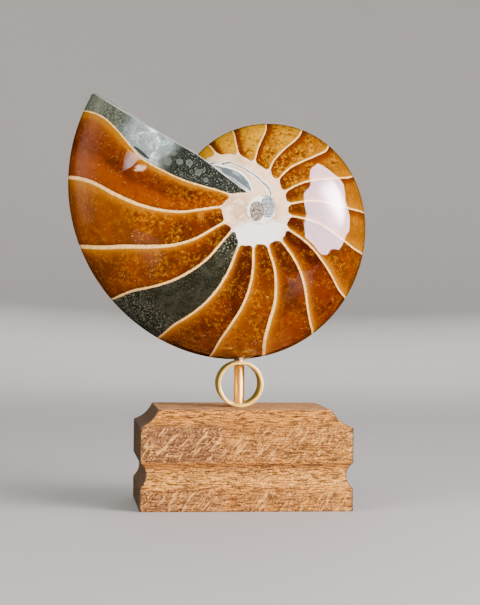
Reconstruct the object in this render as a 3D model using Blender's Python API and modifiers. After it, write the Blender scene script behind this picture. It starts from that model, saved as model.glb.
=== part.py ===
"""Polished fossil nautilus half on its stand: an oak base, a brass ring, a brass post and the fossil.

Metres, +Z up. The origin is the middle of the base's underside, +X is the viewer's right
and -Y is the front, the side that the polished flank of the shell faces.
"""

import math

import bmesh
import bpy
from mathutils import Matrix, Vector
from mathutils.geometry import tessellate_polygon

MM = 0.001

# Base: one block of oak, moulded along its front and both ends, with a plain back.
BASE_WIDTH = 100.0 * MM
BASE_DEPTH = 64.0 * MM
BASE_HEIGHT = 47.05 * MM
EDGE_ROUND, EDGE_STEPS = 0.8 * MM, 2
COVE_INSET = 9.0 * MM
COVE_DROP = 7.95 * MM
COVE_RADIUS = 13.5 * MM
GROOVE_TOP = 22.6 * MM
GROOVE_BOTTOM = 10.8 * MM
GROOVE_DEPTH = 2.8 * MM
CUTTER_SEGMENTS = 64
DRILL_OVERRUN = 5.0 * MM
SMOOTH_BELOW = math.radians(30)

# Ring and post: a slice of brass tube on its side, and a rod through it.
GAP = 0.25 * MM
AXIS_X = -0.8 * MM
RING_RADIUS = 11.0 * MM
RING_WALL = 1.5 * MM
RING_LENGTH = 15.0 * MM
RING_CHAMFER = 0.25 * MM
RING_SEGMENTS = 72
RING_JOIN = 0.01 * MM
POST_RADIUS = 2.5 * MM
POST_IN_BASE = 15.0 * MM
POST_IN_SHELL = 10.0 * MM
POST_BEVEL = 0.3 * MM
POST_SEGMENTS = 32

# Shell, seen from the front. Its outline grows as a spiral round the pole, clockwise.
POLE_X = 5.584 * MM
POLE_Z = 140.04 * MM
SAWN_FACE_Y = 8.0 * MM
START_ANGLE = math.radians(147.0)
START_RADIUS = 37.76 * MM
GROWTH = 0.9235
LOBES, LOBE_SIZE, LOBE_TURN = 3, 0.0107, math.radians(44.6)
LOWEST_BETWEEN = range(210, 270)  # degrees of growth where the outline can be lowest

# Shell section, from the sawn face forward: thick at the umbilicus, full at the venter.
FULL_THICKNESS = 37.0 * MM
THICKNESS_POWER = 0.37
UMBILICUS_THICKNESS = 32.5 * MM
BLEND_FROM, BLEND_TO = 6.0 * MM, 38.0 * MM
FLANK_POWER, VENTER_POWER = 3.6, 2.5

# Saw cut that ends the last whorl: an outer facet that leans back, and an inner one
# down to the umbilicus. Each is given by the direction and distance of its foot from the pole.
OUTER_CUT_ANGLE = math.radians(61.0)
OUTER_CUT_DISTANCE = 12.35 * MM
OUTER_CUT_LEAN = 0.142
INNER_CUT_ANGLE = math.radians(54.4)
INNER_CUT_DISTANCE = 3.76 * MM
CUT_ENDS = 10.0 * MM
CORNER_ROUND = 2.2 * MM

# Wall under the cut: how far it reaches from the cut, in distance and in share of the turn,
# how much of the step it fills, and from which share of the radius it dies away.
RAMP_WIDTH, RAMP_SHARE = 9.0 * MM, 0.1
RAMP_RISE, RAMP_FADES_FROM = 0.5, 0.55

# Rays round the pole, and stations along them, even up to the knee and crowding beyond it.
RAYS = 120
INNER_STATIONS, OUTER_STATIONS = 7, 8
KNEE = 0.6
CUT_STATIONS = 8
PASSES = 40


def clear_scene():
    for obj in list(bpy.data.objects):
        bpy.data.objects.remove(obj, do_unlink=True)


def new_collection(name):
    collection = bpy.data.collections.new(name)
    bpy.context.scene.collection.children.link(collection)
    return collection


def material(name, colour, roughness, metallic=0.0, coat=0.0):
    """A Principled material with one colour."""
    made = bpy.data.materials.new(name)
    made.use_nodes = True
    shader = made.node_tree.nodes["Principled BSDF"]
    shader.inputs["Base Color"].default_value = (*colour, 1.0)
    shader.inputs["Roughness"].default_value = roughness
    shader.inputs["Metallic"].default_value = metallic
    shader.inputs["Coat Weight"].default_value = coat
    made.diffuse_color = (*colour, 1.0)
    return made


def object_from(bm, name, collection, finish=None, smooth_below=None):
    """Ends a bmesh as a named object, with smooth shading below an angle if one is given."""
    mesh = bpy.data.meshes.new(name)
    bm.to_mesh(mesh)
    bm.free()
    if smooth_below is not None:
        mesh.shade_smooth()
        mesh.set_sharp_from_angle(angle=smooth_below)
    obj = bpy.data.objects.new(name, mesh)
    if finish:
        mesh.materials.append(finish)
    collection.objects.link(obj)
    return obj


def as_cutter(obj):
    obj.hide_render = True
    obj.display_type = "WIRE"
    return obj


def cut(obj, cutter):
    boolean = obj.modifiers.new(f"cut by {cutter.name}", "BOOLEAN")
    boolean.operation = "DIFFERENCE"
    boolean.solver = "EXACT"
    boolean.object = cutter


def rod_cutter(name, collection, radius, start, end, segments=CUTTER_SEGMENTS):
    """A cylinder from one point to another, for cutting."""
    start, end = Vector(start), Vector(end)
    along = end - start
    bm = bmesh.new()
    bmesh.ops.create_cone(
        bm, cap_ends=True, segments=segments, radius1=radius, radius2=radius, depth=along.length
    )
    obj = object_from(bm, name, collection)
    obj.location = (start + end) / 2
    obj.rotation_euler = along.to_track_quat("Z", "Y").to_euler()
    return as_cutter(obj)


def edges_of_base():
    """The front and the two ends of the base: each edge's name, outward direction and half-span."""
    half_width, half_depth = BASE_WIDTH / 2, BASE_DEPTH / 2
    return (
        ("front", Vector((0, -1, 0)), half_depth, half_width),
        ("left", Vector((-1, 0, 0)), half_width, half_depth),
        ("right", Vector((1, 0, 0)), half_width, half_depth),
    )


def cove_centre():
    """The cove's centre outside the face and above the underside, from its two edges and radius."""
    shoulder = Vector((0.0, BASE_HEIGHT - COVE_DROP))
    rim = Vector((-COVE_INSET, BASE_HEIGHT))
    chord = rim - shoulder
    outward = Vector((chord.y, -chord.x)).normalized()
    rise = math.sqrt(COVE_RADIUS**2 - (chord.length / 2) ** 2)
    return (shoulder + rim) / 2 + outward * rise


def groove_circle():
    """The groove's radius, and its centre's distance outside the face."""
    half_chord = (GROOVE_TOP - GROOVE_BOTTOM) / 2
    radius = (half_chord**2 + GROOVE_DEPTH**2) / (2 * GROOVE_DEPTH)
    return radius, radius - GROOVE_DEPTH


def moulding_cutters(collection):
    """One round cutter along each moulded edge for the cove, and one for the groove."""
    cove = cove_centre()
    groove_radius, groove_out = groove_circle()
    rows = (
        ("cove", COVE_RADIUS, cove.x, cove.y),
        ("groove", groove_radius, groove_out, (GROOVE_TOP + GROOVE_BOTTOM) / 2),
    )
    for row, radius, out, height in rows:
        for side, outward, reach, half_span in edges_of_base():
            along = Vector((-outward.y, outward.x, 0)) * (half_span + 2 * COVE_RADIUS)
            middle = outward * (reach + out) + Vector((0, 0, height))
            yield rod_cutter(f"{row}_{side}", collection, radius, middle - along, middle + along)


def make_base(parts, cutters, finish):
    bm = bmesh.new()
    size = Matrix.Diagonal((BASE_WIDTH, BASE_DEPTH, BASE_HEIGHT, 1.0))
    bmesh.ops.create_cube(bm, size=1.0, matrix=Matrix.Translation((0, 0, BASE_HEIGHT / 2)) @ size)
    base = object_from(bm, "oak_base", parts, finish, SMOOTH_BELOW)
    rounding = base.modifiers.new("eased edges", "BEVEL")
    rounding.width = EDGE_ROUND
    rounding.segments = EDGE_STEPS
    for cutter in moulding_cutters(cutters):
        cut(base, cutter)
    hole_bottom = BASE_HEIGHT - POST_IN_BASE - GAP
    cut(base, post_drill("post_hole_in_base", cutters, hole_bottom, BASE_HEIGHT + DRILL_OVERRUN))
    return base


def post_drill(name, cutters, bottom, top):
    """The drill for the post, wider than it by the gap all round."""
    ends = ((AXIS_X, 0, bottom), (AXIS_X, 0, top))
    return rod_cutter(name, cutters, POST_RADIUS + GAP, *ends, segments=POST_SEGMENTS)


def ring_centre_z():
    return BASE_HEIGHT + GAP + RING_RADIUS


def make_ring(parts, cutters, finish):
    """A rectangle with broken corners, turned round Z and laid over, so that its bore faces the front."""
    inner, outer, half, c = RING_RADIUS - RING_WALL, RING_RADIUS, RING_LENGTH / 2, RING_CHAMFER
    profile = (
        (inner + c, half), (outer - c, half), (outer, half - c), (outer, c - half),
        (outer - c, -half), (inner + c, -half), (inner, c - half), (inner, half - c),
    )
    bm = bmesh.new()
    corners = [bm.verts.new((radius, 0, along)) for radius, along in profile]
    for first, second in zip(corners, corners[1:] + corners[:1]):
        bm.edges.new((first, second))
    ring = object_from(bm, "brass_ring", parts, finish)
    ring.location = (AXIS_X, 0, ring_centre_z())
    ring.rotation_euler.x = math.pi / 2
    turned = ring.modifiers.new("turned", "SCREW")
    turned.steps = turned.render_steps = RING_SEGMENTS
    turned.use_merge_vertices = True
    turned.merge_threshold = RING_JOIN
    below, above = BASE_HEIGHT - DRILL_OVERRUN, shell_bottom_z() + DRILL_OVERRUN
    cut(ring, post_drill("post_hole_in_ring", cutters, below, above))
    return ring


def make_post(parts, finish):
    bottom = BASE_HEIGHT - POST_IN_BASE
    top = shell_bottom_z() + POST_IN_SHELL
    bm = bmesh.new()
    bmesh.ops.create_cone(
        bm, cap_ends=True, segments=POST_SEGMENTS, radius1=POST_RADIUS, radius2=POST_RADIUS,
        depth=top - bottom,
    )
    post = object_from(bm, "brass_post", parts, finish, SMOOTH_BELOW)
    post.location = (AXIS_X, 0, (bottom + top) / 2)
    bevel = post.modifiers.new("broken ends", "BEVEL")
    bevel.width = POST_BEVEL
    return post


def outline_radius(growth_angle):
    """Distance from the pole to the venter, after this much growth, with a slight three-lobed wander."""
    spiral = START_RADIUS * math.exp(GROWTH * growth_angle / (2 * math.pi))
    return spiral * (1 + LOBE_SIZE * math.cos(LOBES * growth_angle + LOBE_TURN))


def shell_bottom_z():
    """The lowest point of the outline."""
    turns = [math.radians(degrees) for degrees in LOWEST_BETWEEN]
    return min(POLE_Z + outline_radius(t) * math.sin(START_ANGLE - t) for t in turns)


def smoothstep(value, low, high):
    x = min(max((value - low) / (high - low), 0.0), 1.0)
    return x * x * (3 - 2 * x)


def thickness(radius, growth_angle):
    """How far the flank stands in front of the sawn face, at this radius from the pole."""
    edge = outline_radius(growth_angle)
    full = FULL_THICKNESS * (edge / outline_radius(2 * math.pi)) ** THICKNESS_POWER
    blend = smoothstep(radius, BLEND_FROM, BLEND_TO)
    height = UMBILICUS_THICKNESS + (full - UMBILICUS_THICKNESS) * blend
    across = min(radius / edge, 1.0)
    return height * (1 - across**FLANK_POWER) ** (1 / VENTER_POWER)


def cut_angle(radius, forward):
    """Direction of the saw cut from the pole at this radius, and this far in front of the sawn face."""
    radius = max(radius, CUT_ENDS)
    outer_distance = OUTER_CUT_DISTANCE + OUTER_CUT_LEAN * (SAWN_FACE_Y - forward)
    outer = OUTER_CUT_ANGLE + math.acos(min(outer_distance / radius, 1.0))
    inner = INNER_CUT_ANGLE + math.acos(INNER_CUT_DISTANCE / radius)
    return max(outer, inner)


def corner_turn(radius):
    """How far the cut turns down into the rounded outer corner, as an angle."""
    corner = last_radius()
    past = max(radius - (corner - CORNER_ROUND), 0.0)
    drop = CORNER_ROUND - math.sqrt(max(CORNER_ROUND**2 - past**2, 0.0))
    return drop / corner


def last_radius():
    """Where the outline of the last whorl meets the saw cut."""
    radius = outline_radius(2 * math.pi)
    for _ in range(PASSES):
        radius = outline_radius(2 * math.pi + START_ANGLE - cut_angle(radius, 0.0))
    return radius


def first_radius():
    """Where the outline of the whorl before it comes out from under the cut."""
    radius = START_RADIUS
    for _ in range(PASSES):
        radius = outline_radius(START_ANGLE - cut_angle(radius, 0.0))
    return radius


def upper_end(radius):
    """Angle and thickness of the last whorl's flank where the saw cut ends it."""
    forward = 0.0
    for _ in range(PASSES):
        angle = cut_angle(radius, forward) + corner_turn(radius)
        forward = 0.5 * (forward + thickness(radius, 2 * math.pi + START_ANGLE - angle))
    return angle, thickness(radius, 2 * math.pi + START_ANGLE - angle)


def ramp(radius, angle):
    """How much of the step under the cut is still filled by the wall that once joined the whorls."""
    from_cut = radius * abs(math.sin(cut_angle(radius, UMBILICUS_THICKNESS) - angle))
    near = max(1 - from_cut / RAMP_WIDTH, 0.0) ** 2
    return RAMP_RISE * near * (1 - smoothstep(radius, RAMP_FADES_FROM * first_radius(), first_radius()))


def lower_flank(radius, angle, share):
    """Thickness along a ray, with the ramp added on the rays next to the cut."""
    plain = thickness(radius, START_ANGLE - angle)
    if share > RAMP_SHARE:
        return plain
    return plain + ramp(radius, angle) * (upper_end(radius)[1] - plain)


def stations():
    """Shares of the radius, even across the flank and closer together round the venter."""
    flat = [KNEE * step / INNER_STATIONS for step in range(INNER_STATIONS)]
    start = math.asin(KNEE ** (FLANK_POWER / 2))
    turn = [start + (math.pi / 2 - start) * step / OUTER_STATIONS for step in range(OUTER_STATIONS + 1)]
    return flat + [math.sin(angle) ** (2 / FLANK_POWER) for angle in turn]


def ray_angle(radius, share):
    """Direction of the ray that lies this share of a turn on from the cut, at this radius."""
    low = cut_angle(radius, UMBILICUS_THICKNESS)
    high = upper_end(radius)[0]
    return low - share * (2 * math.pi + low - high)


def ray_end(share):
    """The radius at which a ray reaches the outline."""
    radius = START_RADIUS * math.exp(GROWTH * share)
    for _ in range(PASSES):
        radius = 0.5 * (radius + outline_radius(START_ANGLE - ray_angle(radius, share)))
    return radius


def at(radius, angle, forward):
    x = POLE_X + radius * math.cos(angle)
    z = POLE_Z + radius * math.sin(angle)
    return Vector((x, SAWN_FACE_Y - forward, z))


def flank_rays():
    """The flank as rays of points, from the pole to the sawn face, clockwise from the cut back to it."""
    for step in range(RAYS + 1):
        share = step / RAYS
        end = ray_end(share)
        ray = []
        for part in stations()[1:-1]:
            radius = part * end
            angle = ray_angle(radius, share)
            ray.append(at(radius, angle, lower_flank(radius, angle, share)))
        ray.append(at(end, ray_angle(end, share), 0.0))
        yield ray


def back_edge_of_cut(first, last):
    """Points along the cut in the sawn face, from the outer corner in to the notch."""
    for step in range(1, CUT_STATIONS):
        radius = last + (first - last) * step / CUT_STATIONS
        yield at(radius, cut_angle(radius, 0.0) + corner_turn(radius), 0.0)


def cut_face(bm, upper, lower, back):
    """Closes the saw cut between the last whorl's edge, the whorl below and the sawn face."""
    loop = upper + back + lower[::-1]
    flat = [Vector((math.hypot(v.co.x - POLE_X, v.co.z - POLE_Z), v.co.y, 0)) for v in loop]
    for corners in tessellate_polygon([flat]):
        bm.faces.new([loop[index] for index in corners])


def make_shell(parts, cutters, finish):
    """A fan of rays over the flank, closed by the sawn face behind and the saw cut at the top."""
    bm = bmesh.new()
    front_pole = bm.verts.new(at(0, 0, UMBILICUS_THICKNESS))
    back_pole = bm.verts.new(at(0, 0, 0))
    rays = [[bm.verts.new(point) for point in ray] for ray in flank_rays()]
    for ray, following in zip(rays, rays[1:]):
        bm.faces.new((front_pole, ray[0], following[0]))
        bm.faces.new((back_pole, following[-1], ray[-1]))
        for near in range(len(ray) - 1):
            bm.faces.new((ray[near], ray[near + 1], following[near + 1], following[near]))
    first = (rays[0][-1].co - back_pole.co).length
    last = (rays[-1][-1].co - back_pole.co).length
    back = [bm.verts.new(point) for point in back_edge_of_cut(first, last)]
    edge = [rays[-1][-1], *back, rays[0][-1]]
    for outer, inner in zip(edge, edge[1:]):
        bm.faces.new((back_pole, inner, outer))
    cut_face(bm, rays[-1], [front_pole, *rays[0]], back)
    bmesh.ops.recalc_face_normals(bm, faces=bm.faces)
    shell = object_from(bm, "nautilus_half", parts, finish, SMOOTH_BELOW)
    top = shell_bottom_z() + POST_IN_SHELL + GAP
    cut(shell, post_drill("post_hole_in_shell", cutters, BASE_HEIGHT, top))
    return shell


def main():
    clear_scene()
    parts = new_collection("fossil_nautilus_half_on_stand")
    cutters = new_collection("cutters")
    oak = material("oak", (0.47, 0.27, 0.13), 0.6)
    pale_brass = material("brushed brass", (0.80, 0.66, 0.36), 0.32, metallic=1.0)
    warm_brass = material("drawn brass", (0.78, 0.52, 0.25), 0.25, metallic=1.0)
    amber = material("polished amber calcite", (0.50, 0.17, 0.02), 0.12, coat=1.0)
    make_base(parts, cutters, oak)
    make_ring(parts, cutters, pale_brass)
    make_post(parts, warm_brass)
    make_shell(parts, cutters, amber)


main()
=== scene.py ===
"""The finished look of a polished fossil nautilus half on its stand.

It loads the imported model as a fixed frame, replaces the plain solids by finely made
pieces in the same places, paints them with procedural materials and lights them.
Metres, +Z up, and -Y is the front, which the polished flank of the shell faces.
Paints and their tables are in millimetres.
"""

import math

import bpy
import numpy as np
from mathutils import Matrix, Vector


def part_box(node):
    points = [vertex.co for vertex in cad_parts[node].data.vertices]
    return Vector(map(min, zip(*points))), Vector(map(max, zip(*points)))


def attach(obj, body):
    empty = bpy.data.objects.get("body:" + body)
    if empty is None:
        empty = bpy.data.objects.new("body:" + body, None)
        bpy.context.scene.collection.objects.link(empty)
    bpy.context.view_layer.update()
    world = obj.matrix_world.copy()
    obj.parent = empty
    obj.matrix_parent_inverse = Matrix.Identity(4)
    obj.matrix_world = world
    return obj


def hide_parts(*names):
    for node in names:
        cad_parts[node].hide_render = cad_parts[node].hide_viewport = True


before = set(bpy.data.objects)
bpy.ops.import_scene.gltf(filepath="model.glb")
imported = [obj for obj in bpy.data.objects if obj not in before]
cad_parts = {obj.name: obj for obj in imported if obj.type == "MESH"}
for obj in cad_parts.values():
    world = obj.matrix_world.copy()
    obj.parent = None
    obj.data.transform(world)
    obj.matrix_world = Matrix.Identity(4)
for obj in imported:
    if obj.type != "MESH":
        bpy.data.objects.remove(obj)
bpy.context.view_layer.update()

bl_info = {
    "name": "Fossil Nautilus Half",
    "version": (1, 0, 0),
    "blender": (4, 5, 0),
    "location": "3D View > Sidebar > Fossil",
    "description": "Makes a polished fossil nautilus half on an oak and brass stand",
    "category": "Add Mesh",
}

MM = 0.001
TURN = 2 * math.pi

# The stand, from the nodes of the frame.
BASE_LOW, BASE_HIGH = (Vector(corner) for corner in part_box("oak_base"))
RING_LOW, RING_HIGH = (Vector(corner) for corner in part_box("brass_ring"))
POST_LOW, POST_HIGH = (Vector(corner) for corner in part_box("brass_post"))

# Mouldings of the base, which its box doesn't give.
COVE_INSET, COVE_DROP, COVE_RADIUS = 9.0 * MM, 7.95 * MM, 13.5 * MM
GROOVE_TOP, GROOVE_BOTTOM, GROOVE_DEPTH, BASE_CORNER = 22.6 * MM, 10.8 * MM, 2.8 * MM, 0.8 * MM

# Corners of its profile that turn further than EASED_FROM are eased, over up to EASED_SHARE of a short side.
EASED_FROM, EASED_SHARE = math.radians(20), 0.9

# Points in a quarter circle, along a side, in the groove and in the cove, and rows over the flat faces.
ARC_POINTS, SIDE_POINTS, GROOVE_POINTS, COVE_POINTS, FACE_ROWS = 6, 14, 25, 21, 9

# The ring's wall, its lift clear of the base and the post's broken ends. Steps round both, and up the post.
RING_WALL, RING_LIFT, POST_BREAK = 1.5 * MM, 0.02 * MM, 0.3 * MM
RING_STEPS, POST_STEPS, POST_ROWS = 160, 96, 12

# The shell's outline: a spiral round the pole, clockwise from the start angle.
POLE_X, POLE_Z, SAWN_FACE_Y = 5.584 * MM, 140.04 * MM, 8.0 * MM
START_ANGLE, START_RADIUS, GROWTH = math.radians(147.0), 37.76 * MM, 0.9235
LOBES, LOBE_SIZE, LOBE_TURN = 3, 0.0107, math.radians(44.6)

# Its section, from the sawn face forward.
FULL_THICKNESS, THICKNESS_POWER, UMBILICUS_THICKNESS = 37.0 * MM, 0.37, 32.5 * MM
BLEND_FROM, BLEND_TO = 6.0 * MM, 38.0 * MM
FLANK_POWER, VENTER_POWER = 3.6, 2.5

# The saw cut that ends the last whorl. Inside the radius CUT_ENDS it no longer turns. Its outer corner is
# rounded, and its broken edge reaches full width at BREAK_FULL_FROM.
OUTER_CUT_ANGLE, OUTER_CUT_DISTANCE, OUTER_CUT_LEAN = math.radians(61.0), 12.35 * MM, 0.142
INNER_CUT_ANGLE, INNER_CUT_DISTANCE, CUT_ENDS = math.radians(54.4), 3.76 * MM, 10.0 * MM
CORNER_ROUND, BREAK_FULL_FROM = 2.2 * MM, 24 * MM

# The ramp under the cut's inner end: its width, how much of the step it fills, the share of the first radius
# that it fades from, and the share of the turn that it may lie in. From RAMP_JOINS times CUT_ENDS inward it
# comes to fill the whole step.
RAMP_WIDTH, RAMP_RISE, RAMP_FADES, RAMP_SHARE, RAMP_JOINS = 9.0 * MM, 0.5, 0.55, 0.1, 1.3

# The shell's grids: rays round the pole, and the stations along a ray, down the cut and over the sawn face.
# Points of a piece that are the same to within WELD become one.
RAYS, DISC_STATIONS, INNER_STATIONS, OUTER_STATIONS = 420, 10, 37, 56
CUT_STATIONS, PLATE_STATIONS, WELD = 13, 9, 0.001 * MM

# Slow waves of the polished flank: height, radians in a millimetre along X and Z, and start. WAVE_SHARE of
# their sum counts, and it grows while the thickness does from WAVES_FROM to WAVES_FULL.
WAVES = ((1.0, 0.21, 0.13, 0.0), (0.7, -0.17, 0.31, 1.3), (0.5, 0.52, 0.41, 0.4))
WAVE_SHARE, WAVES_FROM, WAVES_FULL = 0.45, 2 * MM, 8 * MM

# The sutures, where the chamber walls meet the flank. The widest pitch is in millimetres.
FIRST_SUTURE, SUTURE_STEP = math.radians(358.1), math.radians(20.93)
BOWS_FROM, BOWS_TO, WIDEST_PITCH = 0.16, 1.0, 40.0

# Degrees that each suture bows back from its ray, at even shares of the radius from BOWS_FROM to BOWS_TO.
SUTURE_BOWS = (
    (2.2, 7.5, 10.0, 9.4, 7.9, 3.4, 0.5, 0.7), (2.1, 7.9, 11.2, 10.4, 7.7, 4.1, 0.7, -0.2),
    (4.5, 10.1, 12.7, 11.3, 8.0, 4.8, 2.9, 0.7), (1.4, 7.4, 10.6, 10.1, 7.9, 4.5, 1.0, -0.1),
    (2.8, 7.2, 10.1, 9.8, 8.0, 4.9, 1.4, 0.3), (4.9, 8.5, 10.4, 9.3, 6.7, 3.2, 0.7, -0.2),
    (8.0, 10.1, 10.9, 9.0, 5.9, 1.8, -0.5, -0.1), (12.4, 12.3, 12.2, 10.5, 7.1, 3.4, 1.4, 1.3),
    (13.3, 12.8, 12.3, 10.1, 6.9, 3.8, 1.3, 1.7), (16.7, 15.8, 14.8, 12.7, 8.5, 5.2, 3.1, 2.9),
    (17.8, 16.6, 15.4, 13.3, 9.3, 6.1, 4.0, 2.6), (20.5, 19.0, 17.3, 13.7, 9.6, 5.6, 2.8, 2.1),
    (22.1, 20.7, 18.7, 15.1, 9.7, 5.2, 2.3, 3.0), (19.3, 17.3, 15.4, 13.8, 9.2, 4.0, 0.4, -0.2),
    (20.3, 19.0, 17.5, 14.2, 10.2, 6.2, 2.3, 0.8), (13.6, 11.9, 10.2, 8.5, 6.8, 5.5, 3.8, 1.9),
    (14.1, 11.7, 9.3, 6.9, 4.5, 2.5, 1.2, 0.2),
)
LAST_SUTURE = len(SUTURE_BOWS) - 1

# The edge of the umbilical disc: degrees round from the start, and its radius there in millimetres.
DISC_EDGE = (
    (15, 34.8), (26, 31.7), (32, 30.2), (44, 25.9), (48, 24.0), (58, 21.5), (64, 20.3), (76, 18.1), (82, 17.0),
    (92, 16.2), (104, 14.9), (116, 14.1), (128, 13.7), (142, 13.4), (150, 13.3), (162, 14.5), (172, 13.9),
    (190, 16.3), (215, 15.5), (242, 15.1), (254, 16.6), (262, 17.6), (276, 16.5), (285, 15.0), (291, 14.4),
    (302, 16.1), (324, 17.7), (344, 16.8), (350, 15.4), (356, 14.8), (365, 13.6), (374, 11.7), (387, 9.9),
)

# The crack in the disc, written as its edge is, and its usual slant to the rays.
CRACK = (
    (5, 33.5), (13, 31.6), (15.3, 30.9), (18.2, 28.2), (21.5, 27.9), (27.4, 26.7), (31.7, 24.1), (40.8, 20.0),
    (50, 17.0), (63, 13.7), (79.4, 11.6), (91.7, 9.3), (110, 4.0), (130, 0.0), (180, 0.0), (181, 60.0),
)
CRACK_SLANT = 0.65

# Each chamber back from the aperture: shares of gold, of crystal mottling and of deep amber.
CHAMBERS = (
    (0.05, 0.06, 0.0), (0.28, 0.75, 0.0), (0.18, 0.65, 0.10), (0.0, 0.0, 0.0), (0.06, 0.60, 0.28),
    (0.22, 0.65, 0.10), (0.08, 0.30, 0.20), (0.0, 0.40, 0.35), (0.12, 0.50, 0.35), (0.35, 0.50, 0.10),
    (0.40, 0.50, 0.05), (0.42, 0.80, 0.10), (0.50, 0.95, 0.10), (0.60, 0.90, 0.05), (0.65, 0.85, 0.0),
    (0.80, 0.75, 0.0), (0.95, 0.60, 0.0), (0.90, 0.30, 0.0),
)
STONE_CHAMBER = 3


def smoothstep(value, low, high):
    """0 below low, 1 above high, and 3x^2 - 2x^3 in between."""
    x = np.clip((value - low) / (high - low), 0.0, 1.0)
    return x * x * (3 - 2 * x)


def outline_radius(growth):
    """Spiral START_RADIUS e^(GROWTH turns), with a slight three-lobed wander."""
    spiral = START_RADIUS * np.exp(GROWTH * growth / TURN)
    return spiral * (1 + LOBE_SIZE * np.cos(LOBES * growth + LOBE_TURN))


def thickness(radius, growth):
    """Height of the flank before the sawn face: a superellipse of the share of the radius."""
    edge = outline_radius(growth)
    full = FULL_THICKNESS * (edge / outline_radius(TURN)) ** THICKNESS_POWER
    height = UMBILICUS_THICKNESS + (full - UMBILICUS_THICKNESS) * smoothstep(radius, BLEND_FROM, BLEND_TO)
    return height * (1 - np.minimum(radius / edge, 1.0) ** FLANK_POWER) ** (1 / VENTER_POWER)


def cut_angle(radius, forward):
    """Direction of the saw cut from the pole: the further round of its two planes."""
    radius = np.maximum(radius, CUT_ENDS)
    distance = OUTER_CUT_DISTANCE + OUTER_CUT_LEAN * (SAWN_FACE_Y - forward)
    outer = OUTER_CUT_ANGLE + np.arccos(np.minimum(distance / radius, 1.0))
    inner = INNER_CUT_ANGLE + np.arccos(INNER_CUT_DISTANCE / radius)
    return np.maximum(outer, inner)


def settled(step, start):
    """The value that a damped repeat of step ends at."""
    for _ in range(60):
        start = 0.5 * (start + step(start))
    return start


LAST_RADIUS = settled(lambda r: outline_radius(TURN + START_ANGLE - cut_angle(r, 0.0)), outline_radius(TURN))
FIRST_RADIUS = settled(lambda r: outline_radius(START_ANGLE - cut_angle(r, 0.0)), START_RADIUS)


def corner_turn(radius):
    """The cut's fall into the rounded outer corner, a quarter circle, as an angle."""
    past = np.maximum(radius - (LAST_RADIUS - CORNER_ROUND), 0.0)
    return (CORNER_ROUND - np.sqrt(np.maximum(CORNER_ROUND**2 - past**2, 0.0))) / LAST_RADIUS


def upper_edge(radius):
    """(angle, thickness) of the last whorl's flank where the saw cut ends it."""
    def angle_at(forward):
        return cut_angle(radius, forward) + corner_turn(radius)

    forward = settled(lambda f: thickness(radius, TURN + START_ANGLE - angle_at(f)), 0.0 * radius)
    return angle_at(forward), thickness(radius, TURN + START_ANGLE - angle_at(forward))


def at(radius, angle, forward):
    """Points at these distances and directions from the pole, this far before the sawn face."""
    x, z = POLE_X + radius * np.cos(angle), POLE_Z + radius * np.sin(angle)
    return np.stack(np.broadcast_arrays(x, SAWN_FACE_Y - forward, z), -1)


class Sewing:
    """Grids of points, sewn into one closed mesh where their points are the same."""

    def __init__(self):
        self.points, self.quads, self.finishes, self.fields, self.count = [], [], [], [], 0

    def add(self, grid, finish=0, flip=False, **fields):
        """A grid of rows and columns. Each field is one number a point, and missing ones are 0."""
        shape = grid.shape[:2]
        index = self.count + np.arange(shape[0] * shape[1]).reshape(shape)
        quads = np.stack((index[:-1, :-1], index[1:, :-1], index[1:, 1:], index[:-1, 1:]), -1).reshape(-1, 4)
        self.quads.append(quads[:, ::-1] if flip else quads)
        self.finishes.append(np.full(len(quads), finish, np.int32))
        self.points.append(grid.reshape(-1, 3))
        self.fields.append({name: np.broadcast_to(values, shape).ravel() for name, values in fields.items()})
        self.count += index.size

    def finish(self, name, materials, names=(), sharp_from=math.radians(30)):
        """Makes the object. Points that are the same become one, and a quad that lost a side a triangle."""
        points = np.concatenate(self.points)
        cells = np.round(points / WELD).astype(np.int64)
        _, first, welded = np.unique(cells, axis=0, return_index=True, return_inverse=True)
        welded = welded.reshape(-1)
        source, finish = np.concatenate(self.quads), np.concatenate(self.finishes)
        corner = welded[source]
        same = corner == np.roll(corner, -1, axis=1)
        folded = same.any(axis=1)
        whole = source[~folded]
        keep = (same.sum(axis=1) == 1) & (corner[:, 0] != corner[:, 2]) & (corner[:, 1] != corner[:, 3])
        order = (np.argmax(same[keep], axis=1)[:, None] + np.arange(1, 4)) % 4
        triangles = np.take_along_axis(source[keep], order, axis=1)
        corners = np.concatenate((whole.ravel(), triangles.ravel()))
        starts = np.concatenate((np.arange(len(whole)) * 4, 4 * len(whole) + np.arange(len(triangles)) * 3))
        mesh = bpy.data.meshes.new(name)
        mesh.vertices.add(len(first))
        mesh.vertices.foreach_set("co", points[first].astype(np.float32).ravel())
        mesh.loops.add(len(corners))
        mesh.loops.foreach_set("vertex_index", welded[corners].astype(np.int32))
        mesh.polygons.add(len(starts))
        mesh.polygons.foreach_set("loop_start", starts.astype(np.int32))
        for made in materials:
            mesh.materials.append(made)
        mesh.polygons.foreach_set("material_index", np.concatenate((finish[~folded], finish[keep])))
        mesh.update(calc_edges=True)
        if mesh.validate():
            raise RuntimeError(f"{name} has faces that a mesh can't hold")
        mesh.shade_smooth()
        mesh.set_sharp_from_angle(angle=sharp_from)
        for field in names:
            values = np.concatenate([f.get(field, np.zeros(len(p))) for f, p in zip(self.fields, self.points)])
            attribute = mesh.attributes.new(field, "FLOAT", "CORNER")
            attribute.data.foreach_set("value", values[corners].astype(np.float32))
        obj = bpy.data.objects.new(name, mesh)
        bpy.context.scene.collection.objects.link(obj)
        return obj


def dress(obj, node):
    """The piece rides with the body and stands for its CAD node, which it hides."""
    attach(obj, "root")
    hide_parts(node)


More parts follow.
